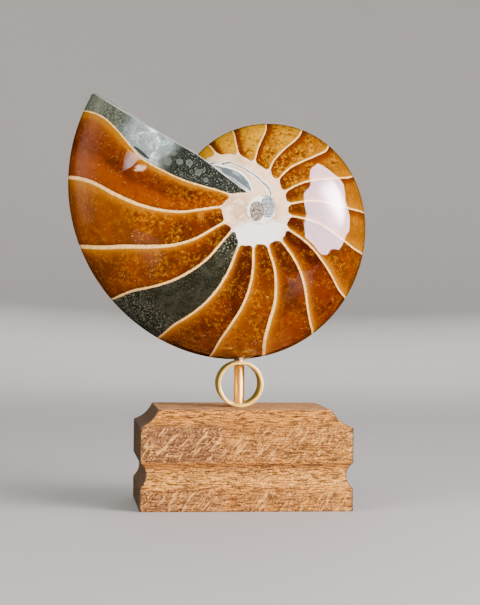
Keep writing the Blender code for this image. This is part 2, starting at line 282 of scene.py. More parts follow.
class Term:
    """A socket that Python's operators work on: each adds its Math node to the material."""

    def __init__(self, paint, socket):
        self.paint, self.socket = paint, socket

    def __add__(self, other): return self.paint.maths("ADD", self, other)
    def __radd__(self, other): return self.paint.maths("ADD", other, self)
    def __sub__(self, other): return self.paint.maths("SUBTRACT", self, other)
    def __rsub__(self, other): return self.paint.maths("SUBTRACT", other, self)
    def __mul__(self, other): return self.paint.maths("MULTIPLY", self, other)
    def __rmul__(self, other): return self.paint.maths("MULTIPLY", other, self)
    def __truediv__(self, other): return self.paint.maths("DIVIDE", self, other)
    def __pow__(self, other): return self.paint.maths("POWER", self, other)
    def __abs__(self): return self.paint.maths("ABSOLUTE", self)
    def floor(self): return self.paint.maths("FLOOR", self)
    def clamp(self): return self.paint.maths("ADD", self, 0.0, clamp=True)
    def least(self, other): return self.paint.maths("MINIMUM", self, other)
    def most(self, other): return self.paint.maths("MAXIMUM", self, other)

    def rise(self, low, high):
        """0 at low and 1 at high, smooth at both ends. With high below low it falls instead."""
        sockets = {"Value": self, "From Min": min(low, high), "From Max": max(low, high)}
        sockets.update({"To Min": float(low > high), "To Max": float(low <= high)})
        return self.paint.node("ShaderNodeMapRange", {"interpolation_type": "SMOOTHSTEP"}, sockets)

    def between(self, low, full, fading, gone):
        """Rises from 0 at low to 1 at full, and falls from 1 at fading to 0 at gone."""
        return self.rise(low, full) * self.rise(gone, fading)

    def equals(self, count):
        """1 where a whole number is this count, and 0 elsewhere."""
        return (1.0 - abs(self - count)).clamp()


class Paint:
    """A material with one Principled shader, whose constants are set on its own sockets."""

    def __init__(self, name, **constants):
        self.material = bpy.data.materials.new(name)
        self.material.use_nodes = True
        self.tree = self.material.node_tree
        self.shader = self.tree.nodes["Principled BSDF"]
        for socket, value in constants.items():
            self.shader.inputs[socket.replace("_", " ")].default_value = value
        metres = self.node("ShaderNodeTexCoord", out="Object")
        scaled = {0: metres, "Scale": 1 / MM}
        self.place = self.node("ShaderNodeVectorMath", {"operation": "SCALE"}, scaled)

    def node(self, kind, settings=None, sockets=None, out=0):
        """Adds a node: its settings first, then the values or links of its sockets."""
        made = self.tree.nodes.new(kind)
        for name, value in (settings or {}).items():
            if name == "stops":
                self.set_stops(made.color_ramp, value)
            else:
                setattr(made, name, value)
        for name, value in (sockets or {}).items():
            if isinstance(value, Term):
                self.tree.links.new(value.socket, made.inputs[name])
            else:
                made.inputs[name].default_value = value
        return Term(self, made.outputs[out])

    def set_stops(self, ramp, stops):
        ramp.interpolation = "CONSTANT"
        while len(ramp.elements) < len(stops):
            ramp.elements.new(1.0)
        for element, (position, colour) in zip(ramp.elements, stops):
            element.position, element.color = position, (*colour, 1.0)

    def maths(self, operation, *values, clamp=False):
        settings = {"operation": operation, "use_clamp": clamp}
        return self.node("ShaderNodeMath", settings, dict(enumerate(values)))

    def parts(self, vector, kind="ShaderNodeSeparateXYZ"):
        made = self.node(kind, None, {0: vector}).socket.node
        return [Term(self, made.outputs[n]) for n in range(3)]

    def axes(self):
        return self.parts(self.place)

    def field(self, name):
        return self.node("ShaderNodeAttribute", {"attribute_name": name}, out="Fac")

    def noise(self, scale, detail=2.0, rough=0.5, twist=0.0, lean=0.0):
        """Noise from 0 to 1. The scale is how many of its features there are in a millimetre.

        A scale for each axis draws the noise out along them, turned round Y by lean degrees first.
        """
        place = self.place
        if lean:
            sockets = {"Vector": place, "Angle": math.radians(lean)}
            place = self.node("ShaderNodeVectorRotate", {"rotation_type": "Y_AXIS"}, sockets)
        if isinstance(scale, tuple):
            place = self.node("ShaderNodeVectorMath", {"operation": "MULTIPLY"}, {0: place, 1: scale})
            scale = 1.0
        sockets = {"Vector": place, "Scale": scale, "Detail": detail, "Roughness": rough, "Distortion": twist}
        return self.node("ShaderNodeTexNoise", None, sockets)

    def wander(self, amount, scale, detail=2.0, rough=0.5):
        """Noise round 0, this far from its lowest to its highest."""
        return (self.noise(scale, detail, rough) - 0.5) * amount

    def cells(self, scale):
        """Distance to the nearest of scattered points, this many of them in a millimetre."""
        return self.node("ShaderNodeTexVoronoi", None, {"Vector": self.place, "Scale": scale})

    def mix(self, below, above, share):
        """Colour above over colour below, by a share from 0 to 1."""
        full = [colour if isinstance(colour, Term) else (*colour, 1.0) for colour in (below, above)]
        settings = {"data_type": "RGBA", "clamp_factor": True}
        return self.node("ShaderNodeMix", settings, {0: share, 6: full[0], 7: full[1]}, 2)

    def layers(self, colour, *coats):
        """Coats of (colour, share) laid over a colour one after the other."""
        for above, share in coats:
            colour = self.mix(colour, above, share)
        return colour

    def listed(self, number, rows):
        """The row of three shares that a whole number picks, from a list of up to 32."""
        stops = [(index / len(rows), row) for index, row in enumerate(rows)]
        row = self.node("ShaderNodeValToRGB", {"stops": stops}, {0: (number + 0.5) / len(rows)})
        return self.parts(row, "ShaderNodeSeparateColor")

    def oval(self, across, up, half_width, half_height, turn=0.0):
        """0 in the middle of an oval, turned to the left by this many degrees, and 1 on its edge."""
        cosine, sine = math.cos(math.radians(turn)), math.sin(math.radians(turn))
        long = (cosine * across + sine * up) / half_width
        short = (cosine * up - sine * across) / half_height
        return long * long + short * short

    def decay(self, distance, reach):
        """1 at no distance, and about a third as much after each further reach."""
        return self.maths("EXPONENT", distance.most(0.0) / -reach)

    def bump(self, height, distance):
        return self.node("ShaderNodeBump", None, {"Height": height, "Distance": distance, "Strength": 1.0})

    def drive(self, **links):
        """Links sockets of the shader that change over the surface."""
        for name, term in links.items():
            self.tree.links.new(term.socket, self.shader.inputs[name.replace("_", " ")])
        return self.material


def colour(name, description, value):
    return bpy.props.FloatVectorProperty(
        name=name, description=description, subtype="COLOR", size=3, min=0.0, max=1.0, default=value)


def length(name, description, value):
    return bpy.props.FloatProperty(
        name=name, description=description, subtype="DISTANCE", unit="LENGTH", min=0.0, default=value)


def power(name, description, value):
    return bpy.props.FloatProperty(
        name=name, description=description, subtype="POWER", unit="POWER", min=0.0, default=value)


def brightness(name, description, value):
    return bpy.props.FloatProperty(name=name, description=description, min=0.0, default=value)


class StandSettings(bpy.types.PropertyGroup):
    """Sizes and colours of the oak base, the ring and the post."""

    edge_round: length("Edge round", "Radius of the base's eased edges", 0.7 * MM)
    oak: colour("Oak", "Main colour of the wood", (0.98, 0.37, 0.042))
    oak_dark: colour("Dark oak", "Colour of the wood's pores", (0.120, 0.044, 0.012))
    oak_fleck: colour("Ray fleck", "Colour of the pale rays across the grain", (1.0, 0.49, 0.12))
    oak_stain: colour("Oak stain", "Colour of the stain at the left", (0.165, 0.092, 0.080))
    ring_edge: length("Ring edge", "Broken edge of the ring", 0.25 * MM)
    brass: colour("Brass", "Colour of the ring", (0.80, 0.61, 0.125))
    drawn_brass: colour("Drawn brass", "Colour of the post", (0.86, 0.56, 0.13))


class ShellSettings(bpy.types.PropertyGroup):
    """Sizes and colours of the fossil."""

    suture_width: length("Suture width", "Width of the pale lines between chambers", 1.1 * MM)
    edge_break: length("Broken edge", "Width of the flat along the sawn edges", 0.35 * MM)
    undulation: length("Undulation", "How far the polished flank waves", 0.10 * MM)
    amber: colour("Amber", "Main colour of the calcite", (0.150, 0.020, 0.0002))
    deep_amber: colour("Deep amber", "Colour of the calcite where it is deep", (0.040, 0.0036, 0.0001))
    gold: colour("Gold", "Colour of the calcite where light comes through it", (0.34, 0.098, 0.0001))
    matrix: colour("Matrix", "Colour of the grey stone in the body chamber", (0.125, 0.142, 0.105))
    olive_matrix: colour("Olive matrix", "Colour of the stone in the fourth chamber", (0.014, 0.013, 0.0065))
    suture: colour("Suture", "Colour of the lines between chambers", (1.0, 0.58, 0.20))
    disc: colour("Disc", "Main colour of the umbilical disc", (0.92, 0.60, 0.36))
    wall: colour("Wall", "Colour of the shell walls on the sawn face", (0.80, 0.52, 0.25))


class StudioSettings(bpy.types.PropertyGroup):
    """Light and floor of the studio."""

    floor: colour("Floor", "Colour of the floor and backdrop", (0.32, 0.31, 0.295))
    gloss: brightness("Gloss", "Brightness of the large softbox in reflections", 58.0)
    card: brightness("Card", "Brightness of the small card on the left in reflections", 8.0)
    haze: brightness("Haze", "Brightness of the soft hazes in reflections", 1.0)
    key_power: power("Key power", "Power of the light on the right", 28.0)
    fill_power: power("Fill power", "Power of the light on the left", 14.0)
    top_power: power("Top power", "Power of the light overhead", 4.0)
    back_power: power("Back power", "Power of the light behind", 9.0)
    sky: brightness("Sky", "Strength of the light from all round", 0.15)


def moulding_profile(edge):
    """(inset, height) round the base's section from the underside to the top.

    The groove and the cove are circular arcs, and every corner is eased by a round of the edge radius.
    """
    height = BASE_HIGH.z - BASE_LOW.z
    chord, middle = (GROOVE_TOP - GROOVE_BOTTOM) / 2, (GROOVE_TOP + GROOVE_BOTTOM) / 2
    groove_radius = (chord**2 + GROOVE_DEPTH**2) / (2 * GROOVE_DEPTH)
    half = math.asin(chord / groove_radius)
    turns = np.linspace(-half, half, GROOVE_POINTS)
    inset = groove_radius * np.cos(turns) - (groove_radius - GROOVE_DEPTH)
    groove = np.stack((inset, middle + groove_radius * np.sin(turns)), -1)
    shoulder, rim = np.array((0.0, height - COVE_DROP)), np.array((COVE_INSET, height))
    across = rim - shoulder
    span = np.hypot(*across)
    aside = np.array((-across[1], across[0])) / span
    centre = (shoulder + rim) / 2 + aside * math.sqrt(COVE_RADIUS**2 - (span / 2) ** 2)
    first, last = (math.atan2(*(point - centre)[::-1]) for point in (shoulder, rim))
    turns = np.linspace(first, last, COVE_POINTS)
    cove = centre + COVE_RADIUS * np.stack((np.cos(turns), np.sin(turns)), -1)
    return eased(np.concatenate((((0.0, 0.0),), groove, cove)), edge)


def eased(profile, edge):
    """Each corner of the profile that turns by more than EASED_FROM becomes a curve.

    The curve is a parabola between points one edge width before and after the corner. Both ends of the
    profile count as corners, with a side that leads inward.
    """
    before, after = np.diff(profile, axis=0)[:-1], np.diff(profile, axis=0)[1:]
    turned_by = before[:, 0] * after[:, 1] - before[:, 1] * after[:, 0]
    turn = np.abs(np.arctan2(turned_by, (before * after).sum(axis=1)))
    turn = np.concatenate(((math.pi,), turn, (math.pi,)))
    ends = np.array((profile[0] + (3 * edge, 0.0), profile[-1] + (3 * edge, 0.0)))
    closed = np.concatenate((ends[:1], profile, ends[1:]))
    rows = []
    for corner, (behind, here, ahead) in zip(turn, zip(closed, closed[1:], closed[2:])):
        if corner < EASED_FROM:
            rows.append(here[None])
            continue
        sides = (behind - here, ahead - here)
        back, forth = (side * min(edge, np.hypot(*side) * EASED_SHARE) / np.hypot(*side) for side in sides)
        s = np.linspace(0.0, 1.0, ARC_POINTS)[:, None]
        rows.append(here + back * (1 - s) ** 2 + forth * s**2)
    return np.concatenate(rows)


def rounded_rectangle(low, high, radius, inset):
    """Points round a rectangle that is inset at the front and both ends, with round corners.

    Each side has even steps and each corner a quarter circle, so rows with other insets match.
    """
    left, right = low.x + inset, high.x - inset
    front, back = low.y + inset, np.full_like(inset, high.y)
    turns = np.linspace(0.0, math.pi / 2, ARC_POINTS)
    rows = []
    for quarter, (x, y) in enumerate(((right, front), (right, back), (left, back), (left, front))):
        start = (quarter - 1) * math.pi / 2
        middle_x = x - np.sign(np.cos(start + math.pi / 4)) * radius
        middle_y = y - np.sign(np.sin(start + math.pi / 4)) * radius
        arc_x, arc_y = radius * np.cos(start + turns), radius * np.sin(start + turns)
        rows.append(np.stack((middle_x[:, None] + arc_x, middle_y[:, None] + arc_y), -1))
    ring = []
    for corner, following in zip(rows, rows[1:] + rows[:1]):
        ring.append(corner)
        s = np.linspace(0.0, 1.0, SIDE_POINTS)[None, 1:-1, None]
        ring.append(corner[:, -1:] * (1 - s) + following[:, :1] * s)
    ring.append(rows[0][:, :1])
    return np.concatenate(ring, axis=1)


def base_grid(edge):
    """The moulding profile carried round the base, closed to a line under it and on its top."""
    profile = moulding_profile(edge)
    outline = rounded_rectangle(BASE_LOW, BASE_HIGH, BASE_CORNER, profile[:, 0])
    heights = np.broadcast_to(BASE_LOW.z + profile[:, 1][:, None, None], (*outline.shape[:2], 1))
    wall = np.concatenate((outline, heights), axis=2)
    shrink = np.linspace(0.0, 1.0, FACE_ROWS)[:, None, None]
    middle = np.array((0.0, 0.0, 1.0))
    under, top = (row * (1 - shrink) + (row * middle) * shrink for row in (wall[:1], wall[-1:]))
    return np.concatenate((under[::-1][:-1], wall, top[1:]))


# Colours in the oak beyond those of its settings.
OAK_HIGHLIGHT, RAY_SHADOW, WOOD_GLINTS = (1.0, 0.46, 0.075), (0.22, 0.090, 0.040), (1.0, 0.50, 0.09)
SHADED_END_GRAIN, TOP_GLARE = (0.092, 0.070, 0.050), (0.30, 0.19, 0.10)


def oak_paint(settings):
    """Oak grain along the base: growth bands, dark pores, pale rays on the flat bands, and painted light and
    shade.
    """
    paint = Paint("oiled oak", Roughness=0.55, Specular_IOR_Level=0.15)
    x, _, z = paint.axes()
    facing_x = paint.parts(paint.node("ShaderNodeNewGeometry", out="Normal"))[0]
    bands = paint.noise((0.006, 0.22, 0.42), 3.0, 0.62, 0.3)
    streaks = paint.noise((0.045, 1.3, 1.9), 4.0, 0.65, 0.2)
    pore = paint.noise((0.20, 1.2, 1.8), 3.0, 0.65, 0.1).rise(0.49, 0.58)
    pits = paint.noise((1.1, 1.4, 1.6), 2.0, 0.65, 0.4)
    rays = paint.noise((0.70, 0.35, 0.16), 2.0, 0.55, 0.6, lean=-36.0)
    short = paint.noise((0.9, 0.5, 0.45), 2.0, 0.55, 0.3, lean=-62.0)

    tone = (0.55 * bands + 0.45 * streaks).rise(0.30, 0.70)
    flat = (z.between(23.2, 24.4, 38.5, 40.5) + z.rise(9.8, 8.6)).clamp()
    groove = z.between(10.4, 12.5, 17.0, 22.0)
    spread = flat * (paint.noise(0.06, 1.0).rise(0.32, 0.52) * 0.9 + x.rise(10.0, -40.0) * 0.7).clamp()
    fleck = (rays.rise(0.52, 0.60) + short.rise(0.57, 0.68) * 0.6).clamp() * spread
    left = x.rise(8.0, -24.0) * (z.between(22.5, 23.5, 39.0, 41.0) + 0.6 * z.rise(11.0, 9.5))
    stain = (paint.noise(0.07, 5.0, 0.7, 0.8) + 0.16 * left).rise(0.42, 0.60) * (0.30 + 0.70 * left)
    dots = pits.rise(0.50, 0.60)
    grain = pore * (0.80 + 0.12 * z.rise(39.0, 41.0)) + dots * (0.55 + 0.25 * stain)
    wood = paint.layers(
        settings.oak_dark,
        (settings.oak, 0.50 + 0.50 * tone),
        # Painted highlight: golden oak over the groove and towards the right end, where the key light falls
        # brighter.
        (OAK_HIGHLIGHT, (groove + x.rise(10.0, 70.0) * 0.6).clamp() * 0.60),
        (settings.oak_stain, stain * (0.60 + 0.40 * dots) * (1.0 - 0.7 * fleck)),
        (RAY_SHADOW, rays.between(0.45, 0.49, 0.51, 0.54) * spread * 0.70),
        (settings.oak_fleck, fleck * 0.8),
        # Painted glints: pale specks where light catches the surface.
        (WOOD_GLINTS, pits.rise(0.42, 0.34) * 0.35),
        (settings.oak_dark, (grain * (1.0 - 0.75 * fleck)).clamp()),
        # Darker end grain, with painted shade, on the faces that look along X.
        (SHADED_END_GRAIN, abs(facing_x).rise(0.12, 0.32) * 0.88),
        # Painted sheen: the top greyer and pinker, as light glances off it.
        (TOP_GLARE, z.rise(46.4, 47.0) * 0.35),
    )
    relief = 0.5 * streaks - 0.8 * pore - 0.8 * dots + 1.8 * fleck
    rough = 0.62 - 0.16 * tone + 0.1 * pore
    return paint.drive(Base_Color=wood, Roughness=rough, Normal=paint.bump(relief, 0.6 * MM))


def turned(profile, axis_point, lay, steps):
    """A closed profile of (radius, along) turned in even steps round an axis through a point.

    The axis is Z for a post, and Y for a ring that is laid over.
    """
    angles = np.linspace(0.0, TURN, steps + 1)
    angles[-1] = 0.0
    radius, along = profile[:, 0][None], profile[:, 1][None]
    first, second = radius * np.cos(angles)[:, None], radius * np.sin(angles)[:, None]
    along = np.broadcast_to(along, first.shape)
    local = np.stack((first, along, second) if lay else (second, first, along), -1)
    return local + np.array(axis_point)


def ring_profile(inner, outer, half, edge):
    """A rectangle of tube wall with its four corners rounded by quarter circles."""
    turns = np.linspace(0.0, math.pi / 2, ARC_POINTS)
    first, last, side = inner + edge, outer - edge, half - edge
    rows = []
    for quarter, (radius, along) in enumerate(((last, side), (first, side), (first, -side), (last, -side))):
        corner = quarter * math.pi / 2 + turns
        rows.append(np.stack((radius + edge * np.cos(corner), along + edge * np.sin(corner)), -1))
    return np.concatenate((*rows, rows[0][:1]))


def post_profile(radius, height, edge):
    """From the axis under the post to the axis on it, with a flat across both edges and even steps between."""
    wall = [(radius, along) for along in np.linspace(edge, height - edge, POST_ROWS)]
    return np.array(((0.0, 0.0), (radius - edge, 0.0), *wall, (radius - edge, height), (0.0, height)))


# What patches of tarnish leave of the brass, and the darker colour of the post above the ring.
TARNISH, DARKENED_TOP = (0.72, 0.62, 0.45), (0.10, 0.07, 0.04)


def brass_paint(name, tint, along, roughness, darkened_from=1000.0):
    """Brass with fine scratches along one direction and slight tarnish in patches, darker above a height."""
    paint = Paint(name, Metallic=0.82, Roughness=roughness)
    scratches, patches = paint.noise(along, 3.0, 0.6), paint.noise(0.22)
    brown = [channel * left for channel, left in zip(tint, TARNISH)]
    darkened = paint.axes()[2].rise(darkened_from - 0.3, darkened_from + 0.1)
    metal = paint.layers(tint, (brown, patches.rise(0.48, 0.75) * 0.5), (DARKENED_TOP, darkened * 0.92))
    rough = roughness + 0.16 * (scratches - 0.5) + 0.08 * patches.rise(0.5, 0.8)
    return paint.drive(Base_Color=metal, Roughness=rough, Normal=paint.bump(scratches, 0.01 * MM))


def cut_break(radius, edge):
    """Width of the broken edge along the cut: none at the umbilicus, and full further out."""
    return edge * smoothstep(radius, CUT_ENDS, BREAK_FULL_FROM)


def flank_angle(radius, share, edge):
    """Direction of the ray that lies this share of the turn on from the cut, short of the broken edge."""
    low = cut_angle(radius, UMBILICUS_THICKNESS)
    high = upper_edge(radius)[0] + cut_break(radius, edge) / np.maximum(radius, CUT_ENDS)
    return low - share * (TURN + low - high)


def back_angle(radius, share, edge):
    """The same on the sawn face, where the cut is plumb."""
    low = cut_angle(radius, 0.0 * radius) + edge / np.maximum(radius, CUT_ENDS)
    high = low + corner_turn(radius)
    return low - share * (TURN + low - high)


def ray_ends(shares):
    """The radius at which each ray reaches the outline."""
    start = START_RADIUS * np.exp(GROWTH * shares)
    return settled(lambda r: outline_radius(START_ANGLE - flank_angle(r, shares, 0.0)), start)


def flank_thickness(radius, angle, share):
    """The section's thickness, and near the cut a ramp that fills part of the step under it.

    The ramp falls as the square of the distance from the cut, and joins the two sides at the umbilicus.
    """
    plain = thickness(radius, START_ANGLE - angle)
    from_cut = radius * np.abs(np.sin(cut_angle(radius, UMBILICUS_THICKNESS) - angle))
    near = np.maximum(1 - from_cut / RAMP_WIDTH, 0.0) ** 2 * (share < RAMP_SHARE)
    rise = RAMP_RISE * (1 - smoothstep(radius, RAMP_FADES * FIRST_RADIUS, FIRST_RADIUS))
    rise = rise + (1 - rise) * (1 - smoothstep(radius, CUT_ENDS, RAMP_JOINS * CUT_ENDS))
    return plain + near * rise * (upper_edge(radius)[1] - plain)


def spaced(start, end, count):
    """Shares of the radius from start to end, even at first and crowding where the section turns down."""
    s = np.linspace(0.0, 1.0, count)
    first = np.arcsin(start ** (FLANK_POWER / 2))
    last = np.arcsin(end ** (FLANK_POWER / 2))
    crowded = np.sin(first + (last - first) * s) ** (2 / FLANK_POWER)
    even = start + (end - start) * s
    return even + (crowded - even) * smoothstep(s, 0.15, 0.8)


def smooth_curve(values, place):
    """The curve through evenly spaced values, read at this place counted in steps from the first of them."""
    padded = np.pad(values, 1, mode="reflect", reflect_type="odd")
    step = np.clip(np.floor(place), 0, len(values) - 2).astype(int)
    share = place - step
    before, low, high, after = (padded[step + k] for k in range(4))
    bend = 2 * before - 5 * low + 4 * high - after + share * (3 * (low - high) + after - before)
    return low + 0.5 * share * (high - before + share * bend)


def suture_fields(radius, growth, points):
    """The markings' fields at each point of the flank.

    chamber counts the chambers back from the aperture, and is whole on a suture. A suture leaves
    the venter on a ray, and bows back by its own angles further in. pitch is the width of
    a chamber there in millimetres, one over the length of the gradient of chamber. disc and crack are the
    distances outside the umbilical disc and its crack in millimetres.
    """
    rim = radius / outline_radius(growth)
    steps = len(SUTURE_BOWS[0]) - 1
    place = (np.clip(rim, BOWS_FROM, BOWS_TO) - BOWS_FROM) / (BOWS_TO - BOWS_FROM) * steps
    bows = [np.radians(smooth_curve(np.array(row), place)) for row in SUTURE_BOWS]
    rays = [FIRST_SUTURE - SUTURE_STEP * n - bow for n, bow in enumerate(bows)]
    chamber = (np.minimum(rays[0] - growth, 0.0) + np.maximum(rays[-1] - growth, 0.0)) / SUTURE_STEP
    for ray, following in zip(rays, rays[1:]):
        chamber = chamber + np.clip((ray - growth) / (ray - following), 0.0, 1.0)
    across, along = np.gradient(chamber)
    p_across, p_along = np.gradient(points, axis=(0, 1))
    g11, g12, g22 = (p_across**2).sum(-1), (p_across * p_along).sum(-1), (p_along**2).sum(-1)
    square = g22 * across**2 - 2 * g12 * across * along + g11 * along**2
    square = square / np.maximum(g11 * g22 - g12**2, 1e-20)
    pitch = np.minimum(1 / np.sqrt(np.maximum(square, 1.0)) / MM, WIDEST_PITCH)
    disc = radius / MM - np.interp(np.degrees(growth), *zip(*DISC_EDGE))
    return {"chamber": chamber, "pitch": pitch, "rim": rim, "disc": disc, "crack": crack_field(radius, growth)}


def crack_field(radius, growth):
    """Millimetres out from the crack, measured across it where it crosses the rays at its usual slant."""
    return CRACK_SLANT * (radius / MM - np.interp(np.degrees(growth), *zip(*CRACK)))


def waved(points, amount):
    """Moves points along Y by the sum of the slow WAVES, so that the polish isn't a perfect surface."""
    x, z = points[..., 0] / MM, points[..., 2] / MM
    wave = sum(height * np.sin(by_x * x + by_z * z + start) for height, by_x, by_z, start in WAVES)
    moved = points.copy()
    moved[..., 1] += amount * wave * WAVE_SHARE
    return moved


def sew_shell(sewing, edge, wave):
    """The flank, the cut and the sawn face, each a grid of rays by stations.

    Rows and columns that meet are given the same points, so that sewing closes the seams between them.
    """
    rim = INNER_STATIONS - 1
    shares = np.linspace(0.0, 1.0, RAYS + 1)[:, None]
    ends = ray_ends(shares)
    ends[0], ends[-1] = FIRST_RADIUS, LAST_RADIUS
    inner = spaced(CUT_ENDS / FIRST_RADIUS, 1.0, INNER_STATIONS)[None] * FIRST_RADIUS + 0.0 * shares
    outer = np.stack([spaced(FIRST_RADIUS / end, 1.0, OUTER_STATIONS) * end for end in ends[:, 0]])
    radius = np.concatenate((inner, outer[:, 1:]), axis=1)
    angle = flank_angle(radius, shares, edge)
    forward = np.maximum(flank_thickness(radius, angle, shares), edge)
    flank = at(radius, angle, forward)
    flank[0, rim:] = flank[0, rim]
    flank = flank + (waved(flank, wave) - flank) * smoothstep(forward, WAVES_FROM, WAVES_FULL)[..., None]
    flank[-1, 0] = flank[0, 0]
    sewing.add(flank, 0, **suture_fields(radius, START_ANGLE - angle, flank))

    # The middle of the umbilicus, which counts as inside the disc and past the last chamber.
    disc_radius = np.linspace(0.0, 1.0, DISC_STATIONS)[None] * CUT_ENDS + 0.0 * shares
    disc_angle = flank_angle(disc_radius, shares, edge)
    disc = waved(at(disc_radius, disc_angle, flank_thickness(disc_radius, disc_angle, shares)), wave)
    disc[:, -1] = flank[:, 0]
    disc[-1] = disc[0]
    disc[:, 0] = disc[0, 0]
    crack = crack_field(disc_radius, START_ANGLE - disc_angle)
    sewing.add(disc, 0, chamber=20.5, pitch=5.0, rim=0.2, disc=disc_radius / MM - 15.0, crack=crack)

    # The saw cut, from the last ray of the flank down to the first, and then to the sawn face.
    cut_radius = radius[-1][:, None]
    bottom = np.concatenate((forward[0, :INNER_STATIONS], np.full(OUTER_STATIONS - 1, edge)))[:, None]
    top = np.maximum(forward[-1][:, None] - cut_break(cut_radius, edge), bottom)
    depth = top + (bottom - top) * np.linspace(0.0, 1.0, CUT_STATIONS)[None]
    cut = at(cut_radius, cut_angle(cut_radius, depth) + corner_turn(cut_radius), depth)
    cut[:INNER_STATIONS, -1] = flank[0, :INNER_STATIONS]
    cut[0] = flank[0, 0]
    cut[-1] = cut[-1, -1]
    inset = np.minimum(forward[-1][:, None] - depth, LAST_RADIUS - cut_radius) / MM
    sewing.add(cut, 1, True, inset=inset)
    sewing.add(np.stack((flank[-1], cut[:, 0])), 1)

    # The sawn face, as a plate inside the first radius and a band round it, and the broken edges to them.
    plate_radius = np.linspace(0.0, 1.0, PLATE_STATIONS)[None] * (FIRST_RADIUS - edge) + 0.0 * shares
    plate = at(plate_radius, back_angle(plate_radius, shares, edge), 0.0)
    plate[-1] = plate[0]
    plate[:, 0] = plate[0, 0]
    band_radius = outer - edge
    band = at(band_radius, back_angle(band_radius, shares, edge), 0.0)
    band[0] = band[0, 0]
    plate[:, -1] = band[:, 0]
    plate[-1, -1] = plate[0, -1]
    band[:, 0] = plate[:, -1]
    band[0] = plate[0, -1]
    sewing.add(plate, 2, True)
    sewing.add(band, 2, True)
    sewing.add(np.stack((flank[:, -1], band[:, -1])), 2, True)
    sewing.add(np.stack((cut[rim:, -1], band[-1])), 1)
    corner = np.array(((flank[-1, -1], cut[-1, -1]), (band[-1, -1], band[-1, -1])))
    sewing.add(corner, 1, True)


class Chambers:
    """Where a point of the flank lies among the chambers and sutures, in terms that its paints share.

    number counts the chambers back from the aperture, and share runs from 0 to 1 through each.
    past and near are the distances from the suture before and from the nearest, and half is the half
    width of that one. real is 1 where the nearest is a suture that exists, and uneven is how much two
    ragged sutures widen or narrow.
    """

    def __init__(self, paint, width):
        self.pitch, self.rim = paint.field("pitch"), paint.field("rim")
        waver = paint.wander(0.3, 0.16) + paint.wander(0.5, 1.1, 3.0, 0.6)
        place = paint.field("chamber") + waver / self.pitch
        self.number = place.floor()
        self.share = place - self.number
        self.past = self.share * self.pitch
        self.near = self.past.least(self.pitch - self.past)
        nearest = (place + 0.5).floor()
        self.real = nearest.between(-0.6, -0.4, LAST_SUTURE + 0.4, LAST_SUTURE + 0.6)
        heavy = (nearest.equals(1) + 1.5 * nearest.equals(2) + nearest.equals(6)) * self.rim.rise(0.40, 0.80)
        self.uneven = (nearest.equals(3) + nearest.equals(4)) * paint.wander(1.0, 0.5, 3.0, 0.7)
        swell = 0.72 + 0.5 * paint.noise(0.35) - 0.35 * nearest.equals(0) - 0.25 * self.number.rise(5.0, 10.0)
        self.half = width / 2 * swell + 0.30 * heavy + self.uneven
        self.suture = (self.half - self.near).rise(-0.15, 0.15) * self.real


def flank_paint(settings):
    """Polished flank: amber chambers between pale sutures, grey matrix, and the nacreous disc."""
    paint = Paint("polished flank", Coat_Weight=1.0, Coat_Roughness=0.03, Specular_IOR_Level=0.0)
    x, _, z = paint.axes()
    place = Chambers(paint, settings.suture_width / MM)
    cusp = 2.0 * paint.decay(place.near - 0.4, 0.6) * place.real
    inside = (cusp + paint.wander(0.8, 0.5, 3.0) - paint.field("disc")).rise(-0.2, 0.2)
    body = paint.layers(
        calcite(paint, settings, place, x, z),
        (body_stone(paint, settings, x, z), place.number.rise(-0.4, -0.6)),
        (olive_stone(paint, settings, place.rim), place.number.equals(STONE_CHAMBER)),
        (suture_line(paint, settings, place), place.suture),
        (umbilicus(paint, settings, x, z), inside),
    )
    return paint.drive(Base_Color=body, Roughness=0.30 + 0.15 * inside)


# Colours of the calcite beyond its amber, deep amber and gold.
BAND_BROWN, BRIGHT_AMBER, BURNT_AMBER = (0.085, 0.0075, 0.0001), (0.21, 0.038, 0.0002), (0.19, 0.042, 0.0003)
HONEY, PALE_HONEY = (0.255, 0.088, 0.0001), (0.60, 0.275, 0.0003)
DARK_CRYSTAL, CRYSTAL, PALE_CRYSTAL = (0.050, 0.0060, 0.0004), (0.38, 0.135, 0.001), (0.54, 0.25, 0.003)
EDGE_BROWN, EDGE_LINE = (0.100, 0.0150, 0.0003), (0.030, 0.004, 0.0006)
RIBBON, FRINGE = (0.33, 0.120, 0.0004), (0.31, 0.130, 0.0010)
PALE_CLOUD, DARK_CLOUD = (0.27, 0.060, 0.0002), (0.080, 0.0110, 0.0002)
SPECK, SCAR = (0.62, 0.42, 0.22), (0.66, 0.40, 0.28)


